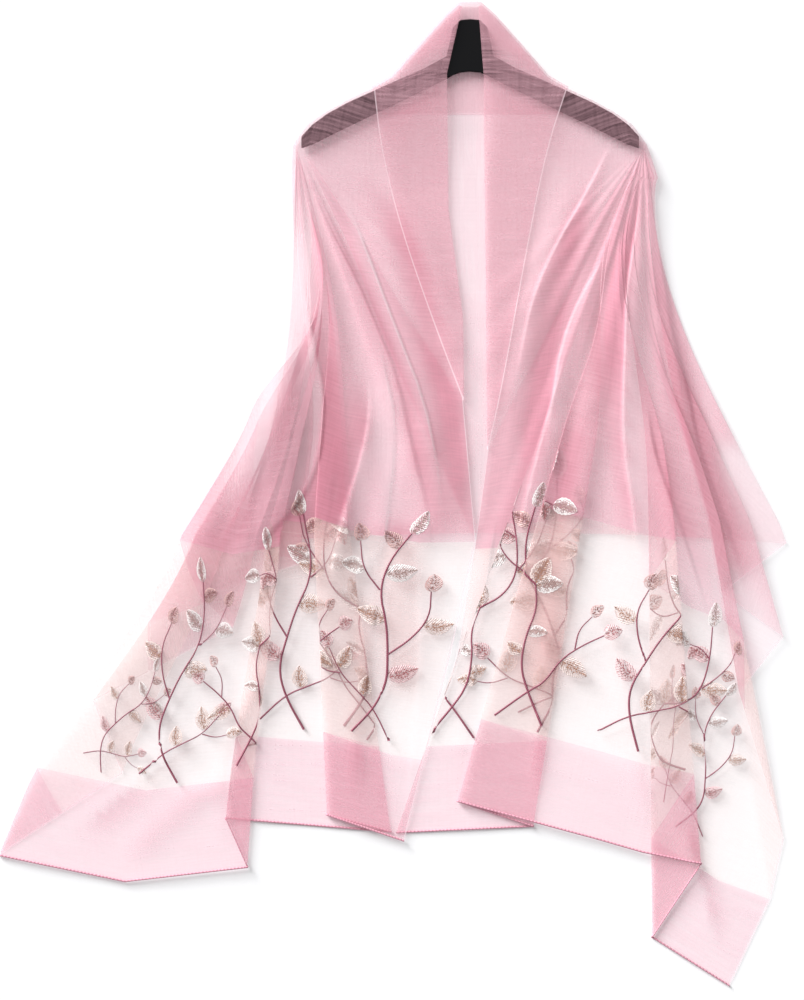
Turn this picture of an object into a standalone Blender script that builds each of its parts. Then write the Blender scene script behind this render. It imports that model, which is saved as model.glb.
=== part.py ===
"""An evening stole of sheer pink cloth, arranged on a wide-shouldered hanger and laid flat.

The stole is one long rectangle. A point of the cloth is given by how far it lies across, from the long edge
at the collar, and how far along, from the centre back. A point of the laid-out stole is given by how far it
lies out from the centre line and how far down from the collar's peak. Every front is a fan of flat folds that
meet at the tip of the hanger's arm. Sizes are in millimetres, and the meshes are made in metres.
"""

from collections import namedtuple

import bmesh
import bpy
import numpy as np
from mathutils import Vector

MM = 0.001

# The cut of the cloth.
WIDTH = 700
HALF_LENGTH = 950
BAND_START = 610
BORDER_START = 855
HEM_WIDTH = 3

# The wall, the distance between layers that lie on each other, and the gaps at the seams.
WALL = 1.0
LAYER = 1.8
LAPEL_LAYERS = 2.4
FLOOR_LAYER = WALL / 2
SEAM_GAP = 0.3
EDGE_GAP = 0.5

# The seams are followed in steps of this part of a fold, and no column lies this close to a seam's end. The
# wall's direction at a seam is taken over this reach. A ray that runs nearly along the seam counts as this
# square to it at the least.
SEAM_STEP = 0.05
SEAM_CLEAR = 0.15
SEAM_REACH = 8
LEAST_SQUARE = 0.12

# A flat fold turns on an arc this wide, and the flat cloth stops a little before it. Near the tip, where the
# folds are narrow, the arc takes up at most this part of the step to the next fold.
FOLD_BEND = 1.1
FOLD_SPREAD = 1.2
BEND_ANGLES = (-90, -45, 0, 45, 90)
MOST_BEND = 0.35

# Points of a grid that are this close are one point: where a fan starts, and where a strip runs out.
MERGE = 0.004

# From the tip of the arm outwards, the cloth first climbs onto its layers and then folds over sideways.
CLIMBS_FROM, CLIMBS_TO = 40, 165
FOLDS_FROM, FOLDS_TO = 90, 330

# The hanger and the hollow it makes under the fronts.
HANGER_THICKNESS = 5.0
HANGER_ROUNDING = 1.6
HANGER_CLEARANCE = 0.3
FRONT_RISE = 7.0
RISE_RUN = 110
ARM_AXIS = ((0, 62), (110, 108), (185, 150))
ARM_HALF_HEIGHT = 14
NECK_AXIS = ((0, 38), (0, 62))
NECK_HALF_WIDTH = 20

# The collar lies behind the back down to this line, and the back steps off it over a short run that starts a
# little lower. The collar reaches this share of the way from the peak to the arm's tip.
COLLAR_BOTTOM = 124
COLLAR_STEP_START = 4
COLLAR_STEP = 25
PEAK = (10, 5)
COLLAR_REACH = 0.53

# Where the layers under a front end, what lies on them sinks towards the floor. The back's lower edge bows
# up, which starts to show this far down.
BACK_BOTTOM = 600
BACK_BOW = 12
BACK_BOW_START = 400

# The shoulder line hangs below the straight line from the peak to the tip, or bulges above it.
SHOULDER_OUT = (10, 25, 48, 83, 105, 135, 158, 177, 192)
SHOULDER_LOWER = (0, 1, 7, 18, 12, 1, -6, -9, 0)
SHOULDER_FADE = 110
SIDE_CURVE_FADE = 150

# The grids: the columns' spacing at the cloth's edge, and how many rows each piece has. The rows of a front
# crowd towards the arm's tip.
COLUMN_SPACING = 42
FRONT_ROWS = 11
ROW_CROWDING = 1.5
BAND_ROWS = 5
BORDER_ROWS = 2
HEM_ROWS = 1
BACK_COLUMNS = 8
COLLAR_ROWS = 3
PEAK_COLUMNS = 3
TIP_COLUMNS = 4

# Each fold of a front ends at the cloth's edge: where that is on the cloth (across, along), where it lies
# (out, down), the number of the layer on either side of it, and how many layers it sinks at the most.
Fold = namedtuple("Fold", "name across along out down under over sinks")

RIGHT_FOLDS = (
    Fold("side edge", 700, 355, 350, 600, 1, 1, 1),
    Fold("tuck 1", 700, 438, 279, 654, 1, 2, 1),
    Fold("pleat 1", 700, 523, 347, 703, 2, 3, 2),
    Fold("tuck 2", 700, 585, 298, 765, 3, 4, 3),
    Fold("pleat 2", 700, 776, 348, 928, 4, 5, 4),
    Fold("border corner", 700, 855, 333, 995, 5, 5, 5),
    Fold("outer corner", 700, 950, 288, 1091, 5, 5, 5),
    Fold("tuck 3", 605, 950, 202, 1037, 5, 6, 5),
    Fold("pleat 3", 511, 950, 256, 955, 6, 7, 5),
    Fold("top panel, outer", 446, 950, 191, 942, 7, 7, 5),
    Fold("top panel, middle", 390, 950, 135, 926, 5.6, 5.6, 3.7),
    Fold("pleat 4", 240, 950, -14, 886, 3, 2, 1),
    Fold("tuck 4", 151, 950, 70, 914, 2, 1, 1),
    Fold("inner corner", 0, 950, -82, 921, 1, 1, 1),
    Fold("inner edge, low", 0, 722, -14, 725, 1, 1, 1),
    Fold("inner edge, high", 0, 610, 5, 606, 1, 1, 1),
    Fold("roll foot", 0, 500, 20, 496, 1, 1, 0),
    Fold("roll middle", 50, 298, 18, 288, 1, 1, 0),
    Fold("roll head", 100, 96, 16, 80, 1, 1, 0),
    Fold("peak", 100, 16, 10, 5, 1, 1, 0),
)

LEFT_FOLDS = (
    Fold("side edge", 700, 256, 259, 600, 1, 1, 1),
    Fold("tuck 1", 700, 334, 186, 622, 1, 2, 1),
    Fold("pleat 1", 700, 454, 300, 658, 2, 3, 2),
    Fold("tuck 2", 700, 504, 263, 693, 3, 4, 3),
    Fold("pleat 2", 700, 679, 418, 774, 4, 5, 4),
    Fold("tuck 3", 700, 767, 386, 855, 5, 6, 5),
    Fold("border corner", 700, 855, 452, 899, 6, 6, 6),
    Fold("outer corner", 700, 950, 523, 946, 6, 7, 6),
    Fold("top panel", 560, 950, 383, 975, 7, 7, 6),
    Fold("pleat 3", 422, 950, 247, 959, 6, 5, 4),
    Fold("tuck 4", 362, 950, 271, 905, 5, 4, 4),
    Fold("tuck 5", 179, 950, 88, 920, 3, 4, 3),
    Fold("pleat 4", 105, 950, 159, 901, 4, 5, 3),
    Fold("inner corner", 0, 950, 73, 930, 5, 5, 3),
    Fold("inner edge, low", 0, 722, 20, 715, 3, 3, 2),
    Fold("inner edge, high", 0, 610, -6, 598, 2.4, 2.4, 1.2),
    Fold("roll foot", 0, 450, 8, 441, 1, 1, 0),
    Fold("roll low", 25, 361, 9, 350, 1, 1, 0),
    Fold("roll middle", 58, 244, 25, 230, 1, 1, 0),
    Fold("roll head", 100, 96, 27, 79, 1, 1, 0),
    Fold("peak", 100, 16, 10, 5, 1, 1, 0),
)

# The lapel's free edge, from its foot to the shoulder line.
LapelEdge = namedtuple("LapelEdge", "out down")
RIGHT_LAPEL = (LapelEdge(35, 430), LapelEdge(63, 274), LapelEdge(85, 163))
LEFT_LAPEL = (LapelEdge(38, 363), LapelEdge(77, 252), LapelEdge(99, 163))

# The side edge curves in from the straight line between the arm's tip and the corner below.
SideCurve = namedtuple("SideCurve", "depth top bottom skew")

# A front: its sign along X, its tip on the cloth and as laid, its folds, how its side curves in, how its
# layers sink, and its lapel's edge.
Side = namedtuple("Side", "name sign tip_across tip_along tip_out tip_down folds curve sinks sink_run lapel")
RIGHT = Side("right", 1, 261, 196, 192, 160, RIGHT_FOLDS, SideCurve(29, 195, 575, 0.75), 5, 460, RIGHT_LAPEL)
LEFT = Side("left", -1, 261, 187, 192, 160, LEFT_FOLDS, SideCurve(24, 160, 590, 1.2), 6, 350, LEFT_LAPEL)
SIDES = (RIGHT, LEFT)

# The hanger's outline on one side, from the top of its neck to the tip of its arm.
HangerStation = namedtuple("HangerStation", "out top bottom")
HANGER = (
    HangerStation(0, 19, 77),
    HangerStation(11, 20, 78),
    HangerStation(19, 28, 81),
    HangerStation(26, 60, 85),
    HangerStation(50, 73, 97),
    HangerStation(95, 93, 119),
    HangerStation(135, 111, 138),
    HangerStation(158, 123.5, 149.5),
    HangerStation(175, 136, 158),
    HangerStation(187, 149, 162),
)


def smooth(x):
    """Eases from 0 to 1 as x goes from 0 to 1."""
    x = np.clip(x, 0, 1)
    return x * x * (3 - 2 * x)


def distance_to_chain(out, down, chain):
    """The distance of each point from a chain of straight runs."""
    nearest = np.full(np.shape(out), np.inf)
    for (x0, y0), (x1, y1) in zip(chain, chain[1:]):
        run = np.array((x1 - x0, y1 - y0), float)
        along = ((out - x0) * run[0] + (down - y0) * run[1]) / run.dot(run)
        along = np.clip(along, 0, 1)
        gap = np.hypot(out - x0 - along * run[0], down - y0 - along * run[1])
        nearest = np.minimum(nearest, gap)
    return nearest


def front_rise(out, down):
    """How far the hanger lifts the cloth that lies over it."""
    out = np.abs(out)
    arm = distance_to_chain(out, down, ARM_AXIS) - ARM_HALF_HEIGHT
    neck = distance_to_chain(out, down, NECK_AXIS) - NECK_HALF_WIDTH
    return FRONT_RISE * smooth(1 - np.minimum(arm, neck) / RISE_RUN)


def back_height(down):
    """The middle of the back's wall: on the floor, or on the collar behind the neck."""
    return FLOOR_LAYER + LAYER * smooth(1 - (down - COLLAR_BOTTOM - COLLAR_STEP_START) / COLLAR_STEP)


class Front:
    """One front as a fan: fold number k picks a ray from the arm's tip, and r the share of its length."""

    def __init__(self, side):
        self.side = side
        folds = side.folds
        self.cloth = np.array([(f.across, f.along) for f in folds], float)
        self.laid = np.array([(f.out, f.down) for f in folds], float)
        self.under = np.array([f.under for f in folds], float)
        self.over = np.array([f.over for f in folds], float)
        self.sinks = np.array([f.sinks for f in folds], float)
        self.cloth_tip = np.array((side.tip_across, side.tip_along), float)
        self.tip = np.array((side.tip_out, side.tip_down), float)
        self.last = len(folds) - 1
        self.corner = [f.name for f in folds].index("inner corner")
        self.open = self.open_rays()

    def open_rays(self):
        """Each ray as it runs near the tip, where the cloth is gathered and not yet folded."""
        cloth = self.cloth - self.cloth_tip
        laid = self.laid - self.tip
        on_cloth = np.arctan2(cloth[:, 1], cloth[:, 0])
        as_laid = np.arctan2(laid[:, 1], laid[:, 0])
        ends = [0, self.corner]
        angle = np.interp(on_cloth, on_cloth[ends], as_laid[ends])
        reach = np.hypot(cloth[:, 0], cloth[:, 1])
        rays = np.stack((reach * np.cos(angle), reach * np.sin(angle)), 1)
        rays[self.corner + 1:] = laid[self.corner + 1:]
        return rays

    def mix(self, values, k):
        """A column of the fold table at a fold number with a fraction."""
        numbers = np.arange(len(self.cloth))
        if values.ndim == 1:
            return np.interp(k, numbers, values)
        return np.stack([np.interp(k, numbers, v) for v in values.T], -1)

    def layer(self, k):
        """The layer number between two folds, which jumps at each fold."""
        fold = np.clip(np.floor(k).astype(int), 0, self.last - 1)
        share = k - fold
        return self.over[fold] * (1 - share) + self.under[fold + 1] * share

    def reach(self, k, r):
        """How far a point is from the tip, on the cloth."""
        return r * np.linalg.norm(self.mix(self.cloth, k) - self.cloth_tip, axis=-1)

    def plan(self, k, r):
        """Where a point lies, as seen from above."""
        folded = smooth((self.reach(k, r) - FOLDS_FROM) / (FOLDS_TO - FOLDS_FROM))[..., None]
        laid = self.mix(self.laid, k) - self.tip
        ray = (1 - folded) * self.mix(self.open, k) + folded * laid
        return self.curved(self.tip + r[..., None] * ray)

    def curved(self, point):
        """Curves the side and the shoulder line in or out, and fades that out over the inner cloth."""
        out, down = point[..., 0], point[..., 1]
        curve, corner = self.side.curve, self.laid[0]
        share = np.clip((down - curve.top) / (curve.bottom - curve.top), 0, 1)
        slope = (corner[0] - self.tip[0]) / (corner[1] - self.tip[1])
        edge = self.tip[0] + (down - self.tip[1]) * slope
        inwards = curve.depth * np.sin(np.pi * share ** curve.skew)
        inwards = inwards * smooth(1 - (edge - out) / SIDE_CURVE_FADE)
        line = PEAK[1] + (out - PEAK[0]) * (self.tip[1] - PEAK[1]) / (self.tip[0] - PEAK[0])
        lower = np.interp(out, SHOULDER_OUT, SHOULDER_LOWER)
        lower = lower * smooth(1 - (down - line) / SHOULDER_FADE)
        return np.stack((out - inwards, down + lower), -1)

    def height(self, k, r, plan):
        """The middle of the wall over the floor."""
        climbed = smooth((self.reach(k, r) - CLIMBS_FROM) / (CLIMBS_TO - CLIMBS_FROM))
        sunk = self.side.sinks * smooth((plan[..., 1] - BACK_BOTTOM) / self.side.sink_run)
        sunk = np.minimum(sunk, self.mix(self.sinks, k))
        layers = 1 + climbed * (self.layer(k) - 1) - sunk
        return FLOOR_LAYER + LAYER * layers + front_rise(plan[..., 0], plan[..., 1])

    def at(self, k, r):
        """Points as (out, down, up)."""
        k, r = np.broadcast_arrays(np.asarray(k, float), np.asarray(r, float))
        plan = self.plan(k, r)
        return np.concatenate((plan, self.height(k, r, plan)[..., None]), -1)

    def share_at(self, k, along):
        """The share of ray k at which the cloth is this far along, at most its whole length."""
        end = self.mix(self.cloth[:, 1], k)
        return np.clip((along - self.cloth_tip[1]) / np.maximum(end - self.cloth_tip[1], 1), 0, 1)

    def seam_share(self, k, along, way):
        """The share of ray k at which a piece ends, on one side of a seam: half a gap away, as laid."""
        share = self.share_at(k, along)
        fold = np.clip(np.floor(k), 0, self.last - 1)
        ends = []
        for step in (-SEAM_STEP, SEAM_STEP):
            near = np.clip(k + step, fold, fold + 1)
            ends.append(self.share_at(near, along)[..., None] * (self.mix(self.laid, near) - self.tip))
        run = ends[1] - ends[0]
        ray = self.mix(self.laid, k) - self.tip
        length = np.linalg.norm(ray, axis=-1)
        square = np.abs(np.cross(ray, run)) / np.maximum(np.linalg.norm(run, axis=-1), MERGE)
        pull = SEAM_GAP / 2 / np.maximum(square, LEAST_SQUARE * length)
        inside = (self.mix(self.cloth[:, 1], k) > along) & (along < HALF_LENGTH)
        return np.clip(share + way * np.where(inside, pull, 0), 0, 1)

    def fold_half(self, k, r, way):
        """Half the width of the bend at fold k, as a part of the step to the next fold that way."""
        step = np.linalg.norm(self.laid[k + way] - self.laid[k])
        return np.minimum(MOST_BEND, FOLD_SPREAD * FOLD_BEND / (np.maximum(r, 0.001) * step))

    def column(self, k, bend, span, rows):
        """A column of points along a ray, or along a bend at that angle round a fold."""
        if bend is None:
            return self.at(k, self.rows(k, span, rows))
        k = int(k)
        r = self.rows(k, span, rows)
        ends = []
        for way in (-1, 1):
            shifted = k + way * self.fold_half(k, r, way)
            ends.append(self.at(shifted, self.rows(shifted, span, rows)))
        before, after = ends
        middle = (before + after) / 2
        turn = np.concatenate((self.plan(np.full(r.shape, float(k)), r), middle[:, 2:]), 1)
        angle = np.radians(bend)
        return middle + (turn - middle) * np.cos(angle) + (after - before) / 2 * np.sin(angle)

    def rows(self, k, span, rows):
        """The shares of ray k between two distances along the cloth, closer together near the tip."""
        start = self.seam_share(k, span[0], 1) if span[0] else 0 * np.asarray(k, float)
        end = self.seam_share(k, span[1], -1)
        crowding = 1 if span[0] else ROW_CROWDING
        return start + (end - start) * np.linspace(0, 1, rows + 1) ** crowding

    def column_numbers(self):
        """Fold numbers of every column: the folds, even steps between them, and both ends of each seam."""
        steps = np.linalg.norm(np.diff(self.laid, axis=0), axis=1)
        counts = np.maximum(1, np.round(steps / COLUMN_SPACING)).astype(int)
        even = np.concatenate([k + np.arange(count) / count for k, count in enumerate(counts)])
        lengths = (BAND_START, BORDER_START)
        seams = [self.fold_at(along, outer) for along in lengths for outer in (True, False)]
        clear = [k for k in even if k == int(k) or np.abs(k - seams).min() > SEAM_CLEAR]
        return sorted(clear + seams + [float(self.last)])

    def columns(self, first, last):
        """Fold numbers and bends of the columns from one fold number to another."""
        found = [(first, None)]
        for k in self.column_numbers():
            if first + 0.01 < k < last - 0.01:
                turns = k == int(k) and self.under[int(k)] != self.over[int(k)]
                found += [(k, bend) for bend in (BEND_ANGLES if turns else (None,))]
        return found + [(last, None)]

    def seam_normals(self, stations, along):
        """The wall's normals at a distance along the cloth, the same for the pieces on both sides of it."""
        span = (along - SEAM_REACH, along + SEAM_REACH)
        before, middle, after = np.stack([self.column(k, bend, span, 2) for k, bend in stations], 1)
        normal = np.cross(np.gradient(middle, axis=0), after - before)
        return normal / np.maximum(np.linalg.norm(normal, axis=1, keepdims=True), MERGE)

    def fold_at(self, along, outer):
        """The fold number on the outer or the inner long edge where the cloth is this far along."""
        numbers = np.nonzero(self.cloth[:, 0] == (WIDTH if outer else 0))[0]
        order = numbers if outer else numbers[::-1]
        return float(np.interp(along, self.cloth[order, 1], order))


def grid_mesh(name, points, sign, collection, material, seams=()):
    """A cloth wall on a grid of points (out, down, up) through its middle. Coincident points are merged, and
    the grid is doubled into two sides, half a wall away along the mean of the faces round each point. A row
    at a seam comes with its own normals, so that the walls on both sides of the seam end in the same plane."""
    rows, columns = points.shape[:2]
    flat = points.reshape(-1, 3) * (sign, -1, 1) * MM
    bm = bmesh.new()
    verts = [bm.verts.new(p) for p in flat]
    for i in range(rows - 1):
        for j in range(columns - 1):
            a = i * columns + j
            bm.faces.new((verts[a], verts[a + 1], verts[a + columns + 1], verts[a + columns]))
    at_seam = {}
    for row, normals in seams:
        for j, normal in enumerate(normals * (sign, -1, 1)):
            at_seam[tuple(verts[row % rows * columns + j].co)] = Vector(normal)
    bmesh.ops.remove_doubles(bm, verts=bm.verts, dist=MERGE * MM)
    bmesh.ops.recalc_face_normals(bm, faces=bm.faces)
    bm.normal_update()
    first_side = list(bm.verts)
    places = [v.co.copy() for v in first_side]
    away = []
    for vert in first_side:
        normal = sum((f.normal for f in vert.link_faces), Vector())
        given = at_seam.get(tuple(vert.co), normal)
        away.append(given.normalized() * (WALL / 2 * MM * (-1 if given.dot(normal) < 0 else 1)))
    second_side = bmesh.ops.extrude_face_region(bm, geom=list(bm.faces), use_keep_orig=True)["geom"]
    second_side = [v for v in second_side if isinstance(v, bmesh.types.BMVert)]
    offsets = {tuple(place): shift for place, shift in zip(places, away)}
    for vert in second_side:
        vert.co += offsets[tuple(vert.co)]
    for vert, shift in zip(first_side, away):
        vert.co -= shift
    bmesh.ops.recalc_face_normals(bm, faces=bm.faces)
    mesh = bpy.data.meshes.new(name)
    bm.to_mesh(mesh)
    bm.free()
    mesh.shade_smooth()
    mesh.materials.append(material)
    piece = bpy.data.objects.new(name, mesh)
    collection.objects.link(piece)
    return piece


def arc(foot, outwards, low, high, bends, inset=0.0):
    """Points on half ellipses that turn from one layer to another, each over its foot and square to the edge.
    The last bend stops short of its layer by the inset."""
    half = (high - low) / 2
    width = np.maximum(half, FOLD_BEND)
    angles = np.radians(np.asarray(bends, float))[None, :] * np.ones((len(foot), 1))
    if inset:
        angles[:, -1] = np.sign(bends[-1]) * np.arccos(np.clip(inset / width, 0, 1))
    across = (width[:, None] * np.cos(angles))[..., None] * outwards[:, None, :]
    up = ((high + low) / 2)[:, None] + half[:, None] * np.sin(angles)
    return np.concatenate((foot[:, None, :2] + across, up[..., None]), -1)


def outward_normals(path, turn):
    """Unit normals of a path in the plan, on the side given by the sign of turn."""
    run = np.gradient(path[:, :2], axis=0)
    normal = np.stack((run[:, 1], -run[:, 0]), 1) * turn
    return normal / np.linalg.norm(normal, axis=1, keepdims=True)


def turned_edge(front):
    """The way round one shoulder: from the peak to the arm's tip and down the side, with its normals and how
    high the front lies over it."""
    shares = np.linspace(0, 1, FRONT_ROWS + 1) ** ROW_CROWDING
    shoulder = front.at(float(front.last), shares[::-1])
    side = front.at(0.0, shares)
    shoulder_normal = outward_normals(shoulder, 1)
    side_normal = outward_normals(side, 1)
    ends = np.arctan2(*np.stack((shoulder_normal[-1], side_normal[0])).T[::-1])
    angles = np.linspace(ends[0], ends[1], TIP_COLUMNS + 1)[1:-1]
    tip_normal = np.stack((np.cos(angles), np.sin(angles)), 1)
    path = np.concatenate((shoulder, np.repeat(side[:1], len(angles), 0), side))
    return path, np.concatenate((shoulder_normal, tip_normal, side_normal))


def make_back(fronts, collection, material):
    """The back panel and, all in one with it, the cloth that turns round the hanger's shoulders and down the
    sides. Its rows run from one turned edge to the other."""
    edges = []
    for front in fronts:
        path, normal = turned_edge(front)
        edge = arc(path, normal, back_height(path[:, 1]), path[:, 2], BEND_ANGLES, EDGE_GAP)
        edge[0] = edge[0, :1]
        edges.append(edge)
    right_edge, left_edge = edges
    mirrored = left_edge * (-1, 1, 1)
    share = np.linspace(0, 1, BACK_COLUMNS + 1)[1:-1][None, :, None]
    panel = mirrored[:, :1] * (1 - share) + right_edge[:, :1] * share
    lowest = smooth((panel[..., 1] - BACK_BOW_START) / (BACK_BOTTOM - BACK_BOW_START))
    panel[..., 1] -= BACK_BOW * lowest * (4 * share * (1 - share))[..., 0]
    panel[..., 2] = back_height(panel[..., 1])
    grid = np.concatenate((mirrored[:, ::-1], panel, right_edge), 1)
    return grid_mesh("back", grid, 1, collection, material)


def collar_line(front):
    """The part of the shoulder line that the collar turns over, from the peak outwards."""
    shares = np.linspace(0, 1, FRONT_ROWS + 1) ** ROW_CROWDING
    shares = shares[shares >= 1 - COLLAR_REACH][::-1]
    return front.at(float(front.last), shares)


def lapel_height(out, down):
    """The middle of a lapel's wall over the floor."""
    return FLOOR_LAYER + LAYER * LAPEL_LAYERS + front_rise(out, down)


def make_collar(fronts, collection, material):
    """The collar: it lies behind the back, turns over the shoulder line to both lapels, and turns over the
    peak to the back."""
    right, left = (collar_line(front) for front in fronts)
    right_normal, left_normal = (outward_normals(line, 1) for line in (right, left))
    left, left_normal = left * (-1, 1, 1), left_normal * (-1, 1)
    top = np.linspace(left[0], right[0], PEAK_COLUMNS + 1)
    up = np.tile((0.0, -1.0), (len(top), 1))
    path = np.concatenate((left[::-1], top, right))
    normal = np.concatenate((left_normal[::-1], up, right_normal))
    high = lapel_height(path[:, 0], path[:, 1])
    low = np.full(len(path), FLOOR_LAYER)
    edge = arc(path, normal, low, high, BEND_ANGLES, EDGE_GAP)
    ends = np.linspace(0, 1, len(path))[:, None]
    bottom = path[0, :2] * (1 - ends) + path[-1, :2] * ends
    bottom[:, 1] = COLLAR_BOTTOM
    bottom[[0, -1]] = path[[0, -1], :2]
    share = np.linspace(0, 1, COLLAR_ROWS + 1)[:-1][None, :, None]
    panel = bottom[:, None] * (1 - share) + path[:, None, :2] * share
    panel = np.concatenate((panel, np.full(panel.shape[:2] + (1,), FLOOR_LAYER)), -1)
    return grid_mesh("collar", np.concatenate((panel, edge), 1), 1, collection, material)


def along_points(points, shares):
    """Points at shares of the length of a chain."""
    points = np.asarray(points, float)
    lengths = np.concatenate(((0,), np.cumsum(np.linalg.norm(np.diff(points, axis=0), axis=1))))
    return np.stack([np.interp(shares * lengths[-1], lengths, c) for c in points.T], -1)


def make_lapel(front, collection, material):
    """A lapel: it turns at the roll line and lies outwards on the front, up to the collar's line."""
    names = [f.name for f in front.side.folds]
    stations = front.columns(names.index("roll foot"), front.last)
    roll = np.array([front.at(float(k), 1.0)[:2] for k, bend in stations])[::-1]
    top = collar_line(front)[:, :2]
    lengths = np.concatenate(((0,), np.cumsum(np.linalg.norm(np.diff(roll, axis=0), axis=1))))
    rows = lengths / lengths[-1]
    free = along_points(np.concatenate((top[-1:], np.array(front.side.lapel, float)[::-1], roll[-1:])), rows)
    across = np.linspace(0, 1, len(top))[None, :, None]
    sheet = roll[:, None] * (1 - across) + free[:, None] * across
    straight = top[:1] * (1 - across[0]) + top[-1:] * across[0]
    sheet = sheet + (1 - rows)[:, None, None] * (top - straight)[None]
    height = lapel_height(sheet[..., 0], sheet[..., 1])
    sheet = np.concatenate((sheet, height[..., None]), -1)[:-1]
    foot_line = sheet[:, 0]
    low = FLOOR_LAYER + LAYER + front_rise(foot_line[:, 0], foot_line[:, 1])
    normal = outward_normals(foot_line, -1)
    bend = arc(foot_line, normal, low, foot_line[:, 2], BEND_ANGLES[::-1], EDGE_GAP)
    grid = np.concatenate((bend[:, ::-1][:, :-1], sheet), 1)
    return grid_mesh("lapel_" + front.side.name, grid, front.side.sign, collection, material)


def make_front(front, name, span, rows, collection, material):
    """A stretch of one front between two distances along the cloth."""
    start = span[0] + SEAM_GAP / 2
    first = front.fold_at(start, True) if span[0] else 0
    last = front.fold_at(start, False) if span[0] else front.last
    stations = front.columns(first, last)
    grid = np.stack([front.column(k, bend, span, rows) for k, bend in stations], 1)
    seams = [(row, front.seam_normals(stations, along)) for row, along in zip((0, -1), span)
             if 0 < along < HALF_LENGTH]
    return grid_mesh(name + "_" + front.side.name, grid, front.side.sign, collection, material, seams)


def make_hanger(collection, material):
    """The hanger: a flat outline with rounded edges, as thick as its arms."""
    upper = [(s.out, s.top) for s in HANGER]
    lower = [(s.out, s.bottom) for s in HANGER]
    half = upper + lower[::-1]
    outline = half + [(-out, down) for out, down in half[::-1] if out > 0]
    curve = bpy.data.curves.new("hanger", "CURVE")
    curve.dimensions = "2D"
    curve.fill_mode = "BOTH"
    curve.extrude = HANGER_THICKNESS / 2 * MM
    spline = curve.splines.new("POLY")
    spline.points.add(len(outline) - 1)
    for point, (out, down) in zip(spline.points, outline):
        point.co = (out * MM, -down * MM, 0, 1)
    spline.use_cyclic_u = True
    drawn = bpy.data.objects.new("hanger outline", curve)
    collection.objects.link(drawn)
    graph = bpy.context.evaluated_depsgraph_get()
    mesh = bpy.data.meshes.new_from_object(drawn.evaluated_get(graph))
    bpy.data.objects.remove(drawn)
    bm = bmesh.new()
    bm.from_mesh(mesh)
    bmesh.ops.remove_doubles(bm, verts=bm.verts, dist=0.01 * MM)
    bm.to_mesh(mesh)
    bm.free()
    mesh.name = "hanger"
    mesh.materials.clear()
    mesh.materials.append(material)
    hanger = bpy.data.objects.new("hanger", mesh)
    collection.objects.link(hanger)
    bottom = back_height(0) + WALL / 2 + HANGER_CLEARANCE
    hanger.location.z = (bottom + HANGER_THICKNESS / 2) * MM
    rounding = hanger.modifiers.new("Rounding", "BEVEL")
    rounding.width = HANGER_ROUNDING * MM
    rounding.segments = 2
    rounding.limit_method = "ANGLE"
    return hanger


def make_material(name, colour, roughness, alpha=1.0):
    """A plain material of one colour."""
    material = bpy.data.materials.new(name)
    material.use_nodes = True
    shader = material.node_tree.nodes["Principled BSDF"]
    shader.inputs["Base Color"].default_value = (*colour, 1)
    shader.inputs["Roughness"].default_value = roughness
    shader.inputs["Alpha"].default_value = alpha
    return material


def centre(collection):
    """Moves every piece so that the origin is under the middle of what is laid out."""
    graph = bpy.context.evaluated_depsgraph_get()
    corners = []
    for piece in collection.objects:
        shown = piece.evaluated_get(graph)
        corners += [piece.matrix_world @ v.co for v in shown.data.vertices]
    corners = np.array(corners)
    middle = (corners.min(0) + corners.max(0)) / 2
    for piece in collection.objects:
        piece.location.x -= middle[0]
        piece.location.y -= middle[1]


def main():
    """Clears the scene, then makes every piece in one collection and centres it."""
    for old in list(bpy.data.objects):
        bpy.data.objects.remove(old)
    stole = bpy.data.collections.new("evening stole on hanger")
    bpy.context.scene.collection.children.link(stole)
    pink = make_material("sheer pink silk", (0.76, 0.42, 0.50), 0.5, 0.75)
    clear = make_material("clear organza", (0.92, 0.88, 0.88), 0.4, 0.3)
    border = make_material("pink border", (0.78, 0.45, 0.53), 0.5, 0.75)
    hem = make_material("rolled hem", (0.62, 0.28, 0.36), 0.55)
    black = make_material("black moulded hanger", (0.012, 0.012, 0.014), 0.45)

    fronts = [Front(side) for side in SIDES]
    hem_start = HALF_LENGTH - HEM_WIDTH
    make_back(fronts, stole, pink)
    make_collar(fronts, stole, pink)
    for front in fronts:
        make_front(front, "front", (0, BAND_START), FRONT_ROWS, stole, pink)
        make_front(front, "band", (BAND_START, BORDER_START), BAND_ROWS, stole, clear)
        make_front(front, "border", (BORDER_START, hem_start), BORDER_ROWS, stole, border)
        make_front(front, "hem", (hem_start, HALF_LENGTH), HEM_ROWS, stole, hem)
        make_lapel(front, stole, pink)
    make_hanger(stole, black)
    bpy.context.view_layer.update()
    centre(stole)


main()
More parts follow.
